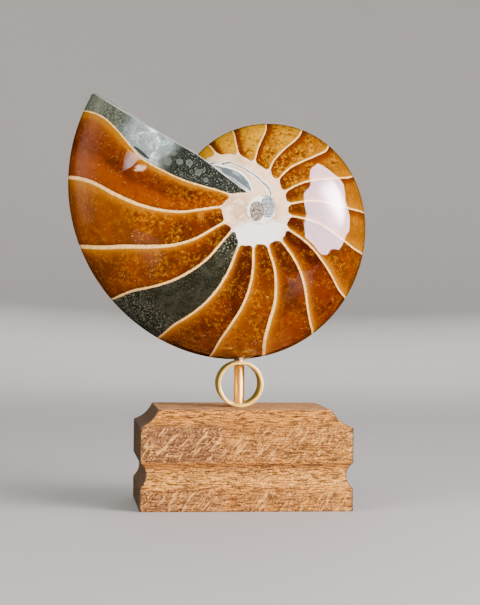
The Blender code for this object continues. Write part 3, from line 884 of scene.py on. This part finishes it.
def calcite(paint, settings, place, x, z):
    """Amber calcite: gold and crystals by each chamber's shares, and a dark edge and a golden fringe.

    first is the chamber behind the body chamber, with a brown band and a pale scar, and heart its part
    near the umbilicus. late are the chambers of the half whorl furthest from the aperture, and old the
    smaller ones of those. inner and outer are the parts of every chamber near the umbilicus and the rim.
    """
    number, share, rim, past = place.number, place.share, place.rim, place.past
    gold, mottle, deep = paint.listed(number, CHAMBERS)
    first, late, old = number.equals(0), number.rise(7.5, 9.5), number.rise(10.5, 12.5)
    inner, outer = number.rise(0.5, 1.0) * rim.rise(0.80, 0.35), rim.rise(0.5, 0.9)
    heart = first * rim.rise(0.6, 0.3)
    clouds = paint.noise(0.075, 4.0, 0.6, 0.8)
    patches = paint.noise(0.14, 3.0, 0.65, 0.6)
    crystal = paint.noise(0.55, 6.0, 0.76, 0.6)
    wisps = paint.noise(0.35, 5.0, 0.7, 0.8)

    band = first * share.between(0.10, 0.26, 0.42, 0.66) * (1.0 - 0.55 * rim.rise(0.66, 0.86))
    depth = clouds.rise(0.60, 0.38) * 0.65 + deep + 0.6 * inner * share.rise(0.1, 0.6) + band * 0.5
    bright = first * share.rise(0.5, 0.75) * rim.rise(0.35, 0.55)
    tone = paint.layers(settings.gold, (HONEY, late), (PALE_HONEY, number.rise(12.0, 14.5)))
    glow = paint.decay(share - 0.05, 0.09) * (0.75 + 0.5 * crystal)
    golden = (gold + 0.40 * late * rim.rise(0.60, 0.90)) * (1.0 - 0.8 * inner) * (0.4 + patches)
    shade = paint.decay(place.pitch - past - 0.5, 2.0) * (1.0 - first)
    burnt = shade * gold + share.rise(0.35, 0.95) * old * patches.rise(0.3, 0.6) * 0.8
    dark = (shade * 0.55 + number.rise(4.5, 1.5) * rim.rise(0.92, 1.0) * 0.3).clamp() * (1.0 - gold)
    mottled = mottle * (1.0 - 0.6 * number.rise(2.5, 1.5) * rim.rise(0.55, 0.85)) + 0.7 * heart
    patchy = (patches + 0.06 * old + 0.5 * heart).rise(0.40, 0.58) * mottled.clamp()
    sunk = (crystal - 0.025 * late).rise(0.48, 0.38) * patchy * (0.9 - 0.25 * gold + 0.2 * late)
    left = place.pitch - past - place.half
    edge = (left + 4.0 * (patches - 0.5) - 1.2 * outer).rise(2.4, 0.4) * late
    ribbon = (past + 5.0 * (clouds - 0.5) + 1.5 * (crystal - 0.5) - 1.5 * outer).rise(2.2, 0.8) * first
    specks = paint.cells(0.9).rise(0.20, 0.10) * paint.noise(0.25).rise(0.50, 0.62)
    scar = paint.oval(x + 50.4, z - 159.5, 2.9, 1.5, 12.0) + (crystal - 0.5) * 5.0
    return paint.layers(
        settings.amber,
        (settings.deep_amber, (depth - first * share.rise(0.5, 0.7) * 0.5).clamp()),
        (BAND_BROWN, band * clouds.rise(0.35, 0.55) * 0.8),
        (BRIGHT_AMBER, bright * 0.7),
        (tone, (glow + golden).clamp()),
        (BURNT_AMBER, burnt.clamp()),
        (settings.deep_amber, dark),
        (DARK_CRYSTAL, sunk),
        (paint.mix(CRYSTAL, PALE_CRYSTAL, gold), crystal.rise(0.49, 0.60) * patchy * 0.85),
        (EDGE_BROWN, edge * (0.6 + 0.5 * crystal)),
        (EDGE_LINE, paint.decay(left, 0.5) * 0.6),
        (RIBBON, ribbon * 0.8),
        (FRINGE, paint.decay(past - place.half, 0.7) * (1.0 - 0.5 * inner) * 0.9),
        (PALE_CLOUD, wisps.rise(0.50, 0.62) * first * 0.35),
        (DARK_CLOUD, wisps.rise(0.48, 0.38) * first * 0.35),
        (SPECK, specks * 0.7),
        (SCAR, scar.rise(1.5, 0.2) * first * 0.85),
    )


OLIVE_BROWN, OLIVE_SPECK = (0.028, 0.026, 0.015), (0.26, 0.26, 0.20)
BROWN_AND_SHADED_SUTURE, GREY_SUTURE = (0.55, 0.26, 0.07), (0.40, 0.36, 0.30)


def olive_stone(paint, settings, rim):
    """Dark olive stone, with pale grains toward the umbilicus and the rim."""
    brown = paint.noise(0.2, 4.0, 0.65).rise(0.40, 0.65)
    grains = paint.noise(1.3, 4.0, 0.7).rise(0.54, 0.62)
    where = (rim.rise(0.45, 0.25) + rim.rise(0.78, 0.95) + 0.12).clamp()
    return paint.layers(settings.olive_matrix, (OLIVE_BROWN, brown), (OLIVE_SPECK, grains * where * 0.8))


def suture_line(paint, settings, place):
    """Pale shell, browner in patches, with painted shade at its edges, and grey where the line is uneven."""
    # Browner in patches, and painted shade towards the edges of the line so that it looks rounded.
    patches_and_edge_shade = paint.noise(0.5, 3.0, 0.6).rise(0.42, 0.70) * 0.6 + 0.5 * (place.near / place.half).rise(0.5, 1.0)
    grey = place.uneven.rise(0.05, 0.3) * 0.7
    return paint.layers(settings.suture, (BROWN_AND_SHADED_SUTURE, patches_and_edge_shade), (GREY_SUTURE, grey))


# The body chamber's stone: its other colours, and the places and sizes of its round spots.
STONE_DARK, STONE_VEIN, STONE_GILT = (0.045, 0.050, 0.036), (0.020, 0.024, 0.018), (0.30, 0.27, 0.15)
STONE_BRANCH, STONE_BLUE, STONE_WISP = (0.020, 0.023, 0.017), (0.22, 0.26, 0.25), (0.60, 0.68, 0.66)
STONE_WHITE, STONE_DEEP, STONE_SPOT = (0.95, 0.98, 0.94), (0.010, 0.012, 0.009), (0.105, 0.120, 0.100)
STONE_GRAIN, STONE_SLIVER = (0.26, 0.27, 0.21), (0.022, 0.022, 0.018)
SPOTS = (
    (-38.0, 162.6, 1.9), (-32.4, 162.4, 1.6), (-27.9, 162.0, 1.7),
    (-23.7, 157.6, 1.6), (-35.0, 166.3, 1.2), (-20.0, 154.2, 1.2),
)


def body_stone(paint, settings, x, z):
    """Grey-green matrix of the body chamber: speckled at its tip, a blue cloud, then dark with round spots.

    inward is the distance in millimetres along the chamber from the middle of the cloud to the umbilicus.
    """
    inward = 0.84 * (x + 46.0) - 0.541 * (z - 172.0) + paint.wander(9.0, 0.15, 3.0)
    fine = paint.noise(1.1, 5.0, 0.75)
    cloud = paint.noise(0.15, 8.0, 0.70, 0.9)
    veins = abs(paint.noise(0.22, 6.0, 0.72, 0.6) - 0.5).rise(0.03, 0.008)
    branches = abs(paint.noise(0.30, 4.0, 0.65, 1.2) - 0.5).rise(0.05, 0.015)
    gilt = paint.noise(1.7, 3.0, 0.7).rise(0.55, 0.64)
    grains = paint.noise(1.6, 3.0, 0.65).rise(0.57, 0.64)
    rings = [paint.oval(x - right, z - up, size, 0.9 * size) + (fine - 0.5) * 1.6 for right, up, size in SPOTS]
    sliver = paint.oval(x + 50.1, z - 166.6, 4.6, 0.75, -41.0) + (fine - 0.5) * 0.8
    blue = inward.between(-17.0, -9.0, 7.0, 16.0) * (0.5 + 0.5 * fine.rise(0.6, 0.45))
    wisps = cloud.rise(0.46, 0.62) * inward.between(-13.0, -3.0, 4.0, 13.0)
    return paint.layers(
        settings.matrix,
        (STONE_DARK, fine.rise(0.44, 0.62) * 0.8),
        (STONE_VEIN, veins * 0.6),
        (STONE_GILT, gilt * inward.rise(-14.0, -20.0) * 0.7),
        (STONE_BRANCH, branches * inward.between(-30.0, -24.0, -14.0, -8.0) * 0.85),
        (STONE_BLUE, blue),
        (STONE_WISP, wisps * (0.65 + 0.35 * fine.rise(0.55, 0.45))),
        (STONE_WHITE, cloud.rise(0.56, 0.62) * inward.between(-8.0, -3.0, 3.0, 9.0) * 0.7),
        (STONE_DEEP, inward.rise(6.0, 16.0) * 0.94),
        *((STONE_SPOT, ring.rise(1.1, 0.8) * (0.55 + 0.4 * ring.rise(0.3, 0.9))) for ring in rings),
        (STONE_GRAIN, grains * inward.rise(10.0, 24.0) * 0.75),
        (STONE_SLIVER, sliver.rise(1.1, 0.9) * 0.95),
    )


# The umbilical disc's other colours, and the line that its lens of grey stone lies along.
DISC_TAN, DISC_SMUDGE = (0.70, 0.40, 0.21), (0.52, 0.32, 0.18)
DISC_MILK, DISC_GLARE = (1.0, 0.86, 0.72), (1.0, 0.95, 0.92)
CRACK_LIPS, CRACK_DARK = (0.95, 0.90, 0.85), (0.045, 0.038, 0.032)
SLATE_DARK, SLATE_PALE, SLATE_EDGE = (0.095, 0.108, 0.118), (0.46, 0.50, 0.50), (0.035, 0.035, 0.032)
LENS_SHELL, LENS_LINE = (0.95, 0.88, 0.80), (0.30, 0.25, 0.20)
POOL_RIM, POOL = (0.34, 0.25, 0.18), (1.0, 0.93, 0.84)
BROWN_CRYSTALS = ((0.045, 0.036, 0.028), (0.44, 0.36, 0.28))
BLUE_CRYSTALS = ((0.14, 0.16, 0.17), (0.50, 0.52, 0.50))
LENS_X, LENS_Z, LENS_LENGTH, LENS_COSINE, LENS_SINE = -16.3, 162.4, 22.6, 0.802, 0.597


def umbilicus(paint, settings, x, z):
    """Pale disc with the crack, a painted highlight low on it, the lens of grey stone beside the cut and the
    crystals at the pole.

    along runs from 0 to 1 down the lens, beside is the distance above its line, and its upper side is
    a parabola of the bent share, so that it is fullest past its middle.
    """
    veil = paint.noise(0.35, 5.0, 0.62, 0.6)
    smudge = paint.oval(x + 3.5, z - 141.5, 5.5, 8.0) + (veil - 0.5) * 2.0
    white = paint.oval(x - 5.0, z - 129.5, 13.0, 5.6, 8.0) + (veil - 0.5) * 2.8
    crack = abs(paint.field("crack") + paint.wander(0.5, 0.8, 3.0))

    right, up = x - LENS_X, z - LENS_Z
    along = (LENS_COSINE * right - LENS_SINE * up) / LENS_LENGTH
    beside = LENS_SINE * right + LENS_COSINE * up + paint.wander(0.6, 0.5)
    bent = along.most(0.0).least(1.0) ** 1.35
    arch = 4.0 * bent * (1.0 - bent)
    above = 4.1 * arch - beside
    lens = above.rise(-0.1, 0.25) * (beside + 1.2 * arch).rise(-0.1, 0.25)
    shell = (above + 1.3).rise(-0.1, 0.2) * (beside + 1.6 * arch).rise(-0.1, 0.2) * arch.rise(0.0, 0.1)
    line = abs(above + 1.3).rise(0.28, 0.12) * along.between(0.1, 0.2, 0.95, 1.0)
    streaks = paint.noise((0.10, 0.3, 0.9), 4.0, 0.6, 0.4, lean=-36.6)
    edge = above.rise(0.7, 0.2) * along.rise(0.45, 0.15)
    slate = paint.layers(SLATE_DARK, (SLATE_PALE, streaks.rise(0.48, 0.66)), (SLATE_EDGE, edge))

    jag = paint.wander(0.9, 0.75, 3.0, 0.65)
    fine = paint.noise(1.3, 4.0, 0.74)
    pool = paint.oval(x - 6.4, z - 140.9, 6.7, 6.5) + 1.3 * jag
    blue = paint.oval(x - 9.4, z - 142.3, 3.4, 5.2) + jag
    brown = paint.oval(x - 4.2, z - 140.1, 3.4, 4.7) + jag
    return paint.layers(
        settings.disc,
        (DISC_TAN, paint.noise(0.11, 4.0, 0.6, 0.4).rise(0.42, 0.66)),
        (DISC_SMUDGE, smudge.rise(1.2, 0.4) * 0.5),
        (DISC_MILK, veil.rise(0.52, 0.66) * 0.6),
        # Painted highlight: the disc whiter low down, where light glares on its pale shell.
        (DISC_GLARE, white.rise(1.9, 0.3) * 0.95),
        (CRACK_LIPS, crack.rise(1.2, 0.4) * 0.75),
        (CRACK_DARK, crack.rise(0.36, 0.18) * 0.9),
        (LENS_SHELL, shell),
        (LENS_LINE, line * 0.7),
        (slate, lens),
        (POOL_RIM, pool.rise(1.22, 1.06) * 0.5),
        (POOL, pool.rise(1.06, 0.94)),
        (paint.mix(*BLUE_CRYSTALS, fine.rise(0.42, 0.62)), blue.rise(1.06, 0.94)),
        (paint.mix(*BROWN_CRYSTALS, fine.rise(0.42, 0.60)), brown.rise(1.06, 0.94)),
    )


CUT_BLUE, CUT_DARK, CUT_WALL_AND_HIGHLIGHT = (0.24, 0.27, 0.26), (0.05, 0.055, 0.05), (0.28, 0.29, 0.27)


def cut_paint(settings):
    """Sawn end of the body chamber: grey stone, lighter along its edges, partly a thin wall of shell and
    partly a painted highlight.
    """
    paint = Paint("sawn end", Coat_Weight=0.3, Coat_Roughness=0.25)
    inset = paint.field("inset") + paint.wander(0.4, 0.5)
    grey = paint.layers(
        settings.matrix,
        (CUT_BLUE, paint.noise(0.16, 4.0, 0.6, 0.5).rise(0.40, 0.66)),
        (CUT_DARK, paint.noise(1.0, 3.0, 0.65).rise(0.52, 0.68) * 0.6),
        # Lighter band along the cut's edges: partly the thin shell wall, partly a painted highlight on the
        # edge.
        (CUT_WALL_AND_HIGHLIGHT, inset.rise(0.9, 0.7) * 0.8),
    )
    scratches = paint.noise((0.12, 2.2, 0.12), 2.0, 0.6)
    rough = 0.42 + 0.2 * scratches
    return paint.drive(Base_Color=grey, Roughness=rough, Normal=paint.bump(scratches, 0.02 * MM))


SECTION_PALE, SECTION_GRAIN, SECTION_STONE = (0.46, 0.33, 0.19), (0.80, 0.42, 0.06), (0.25, 0.28, 0.27)
SECTION_TUBE, WORN_WALL = (0.30, 0.16, 0.07), (0.52, 0.36, 0.20)

# Half widths in millimetres of the septa, the whorl walls at the pole and the tube, how far the tube shows
# on either side of a septum, and its place across the whorl.
SEPTUM_HALF, WALL_HALF, TUBE_HALF, TUBE_REACH, TUBE_PLACE = 0.42, 0.65, 0.9, 1.6, 0.46


def section_paint(settings):
    """Polished median section: whorl walls on spirals, septa across them, and the tube through the septa.

    Turns inward from the outline are the logarithm of the radius over the outline's, divided by GROWTH.
    """
    paint = Paint("polished section", Coat_Weight=1.0, Coat_Roughness=0.04, Specular_IOR_Level=0.0)
    x, _, z = paint.axes()
    right, up = x - POLE_X / MM, z - POLE_Z / MM
    away = (right * right + up * up + 0.04) ** 0.5
    growth = START_ANGLE - paint.maths("ARCTAN2", up, right)
    lobes = 1.0 + LOBE_SIZE * paint.maths("COSINE", LOBES * growth + LOBE_TURN)
    inward = paint.maths("LOGARITHM", away / (START_RADIUS / MM * lobes), math.e) / GROWTH
    turns = inward - growth / TURN
    whorl = turns.floor()
    across = turns - whorl
    to_wall = across.least(1.0 - across) * away * GROWTH
    bowl = (across - 0.5) * (across - 0.5) * 4.0
    total = growth + TURN * (whorl + 1.0)
    chamber = (FIRST_SUTURE - total) / SUTURE_STEP - 0.55 + bowl * 0.55 + paint.wander(0.05, 0.22)
    number = chamber.floor()
    to_septum = (chamber - number).least(number + 1.0 - chamber) * (away * SUTURE_STEP)
    living = chamber.rise(0.05, -0.05)

    tint = paint.node("ShaderNodeTexWhiteNoise", {"noise_dimensions": "1D"}, {"W": number + 3.0})
    clouds = paint.noise(0.14, 4.0, 0.6, 0.6)
    grains = paint.noise(0.6, 4.0, 0.7, 0.5).rise(0.52, 0.66)
    grey = paint.mix(settings.matrix, SECTION_STONE, paint.noise(0.2, 4.0, 0.6, 0.5).rise(0.42, 0.66))
    pale = paint.mix(settings.wall, WORN_WALL, paint.noise(0.6).rise(0.45, 0.75) * 0.6)
    septum = (SEPTUM_HALF - to_septum).rise(-0.1, 0.1) * chamber.rise(-0.5, -0.3)
    wall = (WALL_HALF + 0.01 * away - to_wall).rise(-0.12, 0.12)
    tube = (TUBE_HALF - abs(across - TUBE_PLACE) * away * GROWTH).rise(-0.2, 0.2)
    tube = tube * (TUBE_REACH - to_septum).rise(-0.2, 0.2)
    body = paint.layers(
        settings.deep_amber,
        (settings.amber, (clouds + 0.5 * tint).rise(0.35, 0.9)),
        (settings.gold, paint.decay(to_septum.least(to_wall), 1.6) * 0.85),
        (SECTION_PALE, tint.rise(0.78, 0.80) * clouds.rise(0.30, 0.55) * 0.7),
        (SECTION_GRAIN, grains * 0.4),
        (grey, (living + number.equals(STONE_CHAMBER)).clamp()),
        (SECTION_TUBE, tube * (1.0 - living)),
        (pale, septum.most(wall)),
    )
    return paint.drive(Base_Color=body, Roughness=0.30 + 0.1 * grains)


class FOSSIL_OT_base(bpy.types.Operator):
    """Make the moulded oak base"""

    bl_idname = "fossil.base"
    bl_label = "Oak base"

    def execute(self, context):
        settings = context.scene.fossil_stand
        sewing = Sewing()
        sewing.add(base_grid(settings.edge_round), flip=True)
        base = sewing.finish("moulded_base", [oak_paint(settings)], sharp_from=math.radians(40))
        dress(base, "oak_base")
        return {"FINISHED"}


class FOSSIL_OT_brass(bpy.types.Operator):
    """Make the brass ring and the post through it"""

    bl_idname = "fossil.brass"
    bl_label = "Brass ring and post"

    def execute(self, context):
        settings = context.scene.fossil_stand
        outer, half = (RING_HIGH.x - RING_LOW.x) / 2, (RING_HIGH.y - RING_LOW.y) / 2
        centre = (RING_LOW + RING_HIGH) / 2
        profile = ring_profile(outer - RING_WALL, outer, half, settings.ring_edge)
        sewing = Sewing()
        place = (centre.x, centre.y, BASE_HIGH.z + outer + RING_LIFT)
        sewing.add(turned(profile, place, True, RING_STEPS), flip=True)
        brushed = brass_paint("brushed brass", settings.brass, (0.5, 3.0, 0.5), 0.45)
        dress(sewing.finish("tube_ring", [brushed]), "brass_ring")

        size = POST_HIGH - POST_LOW
        rod = post_profile(size.x / 2, size.z, POST_BREAK)
        sewing = Sewing()
        place = ((POST_LOW.x + POST_HIGH.x) / 2, 0.0, POST_LOW.z)
        sewing.add(turned(rod, place, False, POST_STEPS), flip=True)
        drawn = brass_paint("drawn brass", settings.drawn_brass, (3.0, 3.0, 0.25), 0.40, RING_HIGH.z / MM)
        dress(sewing.finish("round_post", [drawn]), "brass_post")
        return {"FINISHED"}


class FOSSIL_OT_shell(bpy.types.Operator):
    """Make the polished half of the fossil shell"""

    bl_idname = "fossil.shell"
    bl_label = "Fossil shell"

    def execute(self, context):
        settings = context.scene.fossil_shell
        sewing = Sewing()
        sew_shell(sewing, settings.edge_break, settings.undulation)
        finishes = [flank_paint(settings), cut_paint(settings), section_paint(settings)]
        shell = sewing.finish("fossil_half", finishes, ("chamber", "pitch", "rim", "disc", "crack", "inset"))
        dress(shell, "nautilus_half")
        return {"FINISHED"}


# The floor: flat as far as its bend, which carries it up into a round wall. It is paler by PAPER_GAIN far out.
FLOOR_FLAT, FLOOR_BEND, WALL_TOP, PAPER_GAIN = 0.9, 1.3, 3.5, 2.1
BEND_POINTS, FLOOR_STEPS = 24, 96

# The height that lights and panels aim at, and the tints of the sky and of a white panel.
SHELL_HEIGHT, SKY_TINT, WHITE = 0.135, (1.0, 0.98, 0.96), (1.0, 1.0, 1.0)

# The camera: its place, how many degrees it turns to the right, down and over, and its lens and film height.
CAMERA_PLACE, CAMERA_TURNS = (-91.755 * MM, -862.86 * MM, 101.0 * MM), (6.024, 0.254, 0.49)
LENS, FILM = 107.107438, 36.0

# Outlines of the panels round their middles, each in its own plane, in millimetres.
SOFTBOX = (
    (-60, 422), (82, 396), (373, 312), (507, 228), (257, 16), (384, -142), (354, -239), (171, -299),
    (47, -347), (-232, -331), (-315, -342), (-515, -282), (-463, -186), (-415, -150), (-231, 266), (-151, 371),
)
SMALL_CARD = ((-134, 100), (131, -28), (42, -28), (-36, -48), (-158, -83), (-128, 51))
LEFT_WALL = ((-1000, -500), (1000, -500), (1000, 600), (-1000, 600))
LOWER_CARD = ((-128, 88), (193, 43), (187, 6), (-248, -354), (-293, -32))
TABLE_GLOW = ((-145, 57), (-41, 38), (73, 51), (237, -243), (-21, -313))

# Panels that only reflections see: where they face the shell from in degrees round, degrees up and metres,
# outline, the setting of their brightness, their even share of it, what the hot spot in the middle adds,
# how far in millimetres that reaches, and tint.
PANELS = (
    ("large softbox", (54, 15, 0.95), SOFTBOX, "gloss", 0.75, 3.0, 270.0, (1.0, 0.72, 0.83)),
    ("small card", (-29, 8, 1.2), SMALL_CARD, "card", 0.3, 1.0, 160.0, WHITE),
    ("left wall", (-92, 10, 1.2), LEFT_WALL, "haze", 0.0, 1.15, 1000.0, (1.0, 0.78, 0.62)),
    ("lower card", (-22, -14, 1.2), LOWER_CARD, "haze", 0.1, 0.6, 400.0, WHITE),
    ("table glow", (30, -12, 0.95), TABLE_GLOW, "haze", 0.1, 1.0, 350.0, WHITE),
)

# Soft lights that reflections don't see: where they face the shell from, the setting of their power, width
# and height.
LAMPS = (
    ("key light", (51.5, 15, 0.95), "key_power", 0.8, 0.5),
    ("fill light", (-52, 22, 1.0), "fill_power", 0.8, 0.8),
    ("back light", (172, 24, 1.2), "back_power", 0.9, 0.9),
    ("top light", (60, 78, 1.1), "top_power", 0.7, 0.7),
)


def facing(azimuth, elevation, distance):
    """A frame whose Z looks from a point out there to the shell. Azimuth turns from the front to the right."""
    azimuth, elevation = math.radians(azimuth), math.radians(elevation)
    level = Vector((math.sin(azimuth), -math.cos(azimuth), 0.0))
    out = level * math.cos(elevation) + Vector((0.0, 0.0, math.sin(elevation)))
    aside = Vector((math.cos(azimuth), math.sin(azimuth), 0.0))
    placed = Matrix((aside, out.cross(aside), out)).transposed().to_4x4()
    placed.translation = Vector((0.0, 0.0, SHELL_HEIGHT)) + out * distance
    return placed


def glowing_panel(name, place, outline, radiance, hot, reach, tint):
    """A flat panel of light with this outline, brighter by hot in a round spot at its middle."""
    outline = np.array(outline) * MM
    rows = np.stack((np.zeros_like(outline), outline))
    rows = np.concatenate((rows, rows[:, :1]), axis=1)
    local = np.concatenate((rows, np.zeros((*rows.shape[:2], 1))), axis=2)
    sewing = Sewing()
    sewing.add(local @ np.array(place.to_3x3()).T + np.array(place.translation))
    paint = Paint(name, Base_Color=(0.0, 0.0, 0.0, 1.0), Roughness=1.0, Emission_Strength=1.0)
    offsets = [axis - middle / MM for axis, middle in zip(paint.axes(), place.translation)]
    away = (offsets[0] * offsets[0] + offsets[1] * offsets[1] + offsets[2] * offsets[2]) ** 0.5
    glow = radiance + hot * away.rise(reach, 20.0)
    light = paint.node("ShaderNodeCombineColor", None, {n: glow * tint[n] for n in range(3)})
    panel = sewing.finish(name.replace(" ", "_"), [paint.drive(Emission_Color=light)])
    panel.visible_camera = panel.visible_diffuse = panel.visible_shadow = False


def area_light(name, place, watts, width, height):
    """A soft rectangular light that lights the pieces but isn't seen in them."""
    data = bpy.data.lights.new(name, "AREA")
    data.shape, data.size, data.size_y, data.energy = "RECTANGLE", width, height, watts
    lamp = bpy.data.objects.new(name, data)
    lamp.matrix_world = place
    lamp.visible_glossy = False
    bpy.context.scene.collection.objects.link(lamp)


def paper_floor(settings):
    """A profile of a flat floor, a quarter circle and a wall, turned round Z."""
    turns = np.linspace(0.0, math.pi / 2, BEND_POINTS)
    bend = np.stack((FLOOR_FLAT + FLOOR_BEND * np.sin(turns), FLOOR_BEND - FLOOR_BEND * np.cos(turns)), -1)
    profile = np.concatenate((((0.0, 0.0),), bend, ((FLOOR_FLAT + FLOOR_BEND, WALL_TOP),)))
    away, height = profile[:, :, None].transpose(1, 0, 2)
    turns = np.linspace(0.0, TURN, FLOOR_STEPS + 1)[None]
    grid = np.stack((away * np.cos(turns), away * np.sin(turns), height + 0.0 * turns), -1)
    grid[:, -1], grid[0] = grid[:, 0], 0.0
    paint = Paint("studio paper", Roughness=0.75)
    x, y, _ = paint.axes()
    far = ((x * x + y * y) ** 0.5).rise(500.0, 1900.0)
    paper = paint.mix(settings.floor, [channel * PAPER_GAIN for channel in settings.floor], far)
    sewing = Sewing()
    sewing.add(grid)
    floor = sewing.finish("studio_floor", [paint.drive(Base_Color=paper)])
    floor.visible_glossy = False


def camera_frame():
    """The camera's frame: turned to the right, tipped down and then rolled over."""
    yaw, pitch, roll = (math.radians(angle) for angle in CAMERA_TURNS)
    forward = Vector((math.sin(yaw) * math.cos(pitch), math.cos(yaw) * math.cos(pitch), -math.sin(pitch)))
    right = Vector((math.cos(yaw), -math.sin(yaw), 0.0))
    up = right.cross(forward)
    level, plumb = right * math.cos(roll) + up * math.sin(roll), up * math.cos(roll) - right * math.sin(roll)
    view = Matrix((level, plumb, -forward)).transposed().to_4x4()
    view.translation = CAMERA_PLACE
    return view


class FOSSIL_OT_studio(bpy.types.Operator):
    """Set up the floor, the lights and the camera"""

    bl_idname = "fossil.studio"
    bl_label = "Studio"

    def execute(self, context):
        settings = context.scene.fossil_studio
        paper_floor(settings)
        for name, place, outline, setting, even, hot, reach, tint in PANELS:
            light = getattr(settings, setting)
            glowing_panel(name, facing(*place), outline, even * light, hot * light, reach, tint)
        for name, place, setting, width, height in LAMPS:
            area_light(name, facing(*place), getattr(settings, setting), width, height)

        world = bpy.data.worlds.new("studio world")
        world.use_nodes = True
        background = world.node_tree.nodes["Background"]
        background.inputs["Color"].default_value = (*SKY_TINT, 1.0)
        background.inputs["Strength"].default_value = settings.sky
        world.cycles_visibility.glossy = False
        context.scene.world = world

        data = bpy.data.cameras.new("camera")
        data.sensor_fit, data.sensor_width, data.sensor_height, data.lens = "VERTICAL", FILM, FILM, LENS
        camera = bpy.data.objects.new("camera", data)
        camera.matrix_world = camera_frame()
        context.scene.collection.objects.link(camera)
        context.scene.camera = camera
        return {"FINISHED"}


class FOSSIL_PT_pieces(bpy.types.Panel):
    """Lists the pieces and the settings that they are made from"""

    bl_label = "Fossil nautilus half"
    bl_idname = "FOSSIL_PT_pieces"
    bl_space_type = "VIEW_3D"
    bl_region_type = "UI"
    bl_category = "Fossil"

    def draw(self, context):
        for operator in OPERATORS:
            self.layout.operator(operator.bl_idname)
        for group in SETTINGS:
            box = self.layout.box()
            settings = getattr(context.scene, group)
            for name in settings.__annotations__:
                box.prop(settings, name)


SETTINGS = {"fossil_stand": StandSettings, "fossil_shell": ShellSettings, "fossil_studio": StudioSettings}
OPERATORS = (FOSSIL_OT_studio, FOSSIL_OT_base, FOSSIL_OT_brass, FOSSIL_OT_shell)
CLASSES = (*SETTINGS.values(), *OPERATORS, FOSSIL_PT_pieces)


def register():
    for made in CLASSES:
        bpy.utils.register_class(made)
    for name, group in SETTINGS.items():
        setattr(bpy.types.Scene, name, bpy.props.PointerProperty(type=group))


def unregister():
    for name in SETTINGS:
        delattr(bpy.types.Scene, name)
    for made in reversed(CLASSES):
        bpy.utils.unregister_class(made)


def main():
    register()
    bpy.ops.fossil.studio()
    bpy.ops.fossil.base()
    bpy.ops.fossil.brass()
    bpy.ops.fossil.shell()


if __name__ == "__main__":
    main()
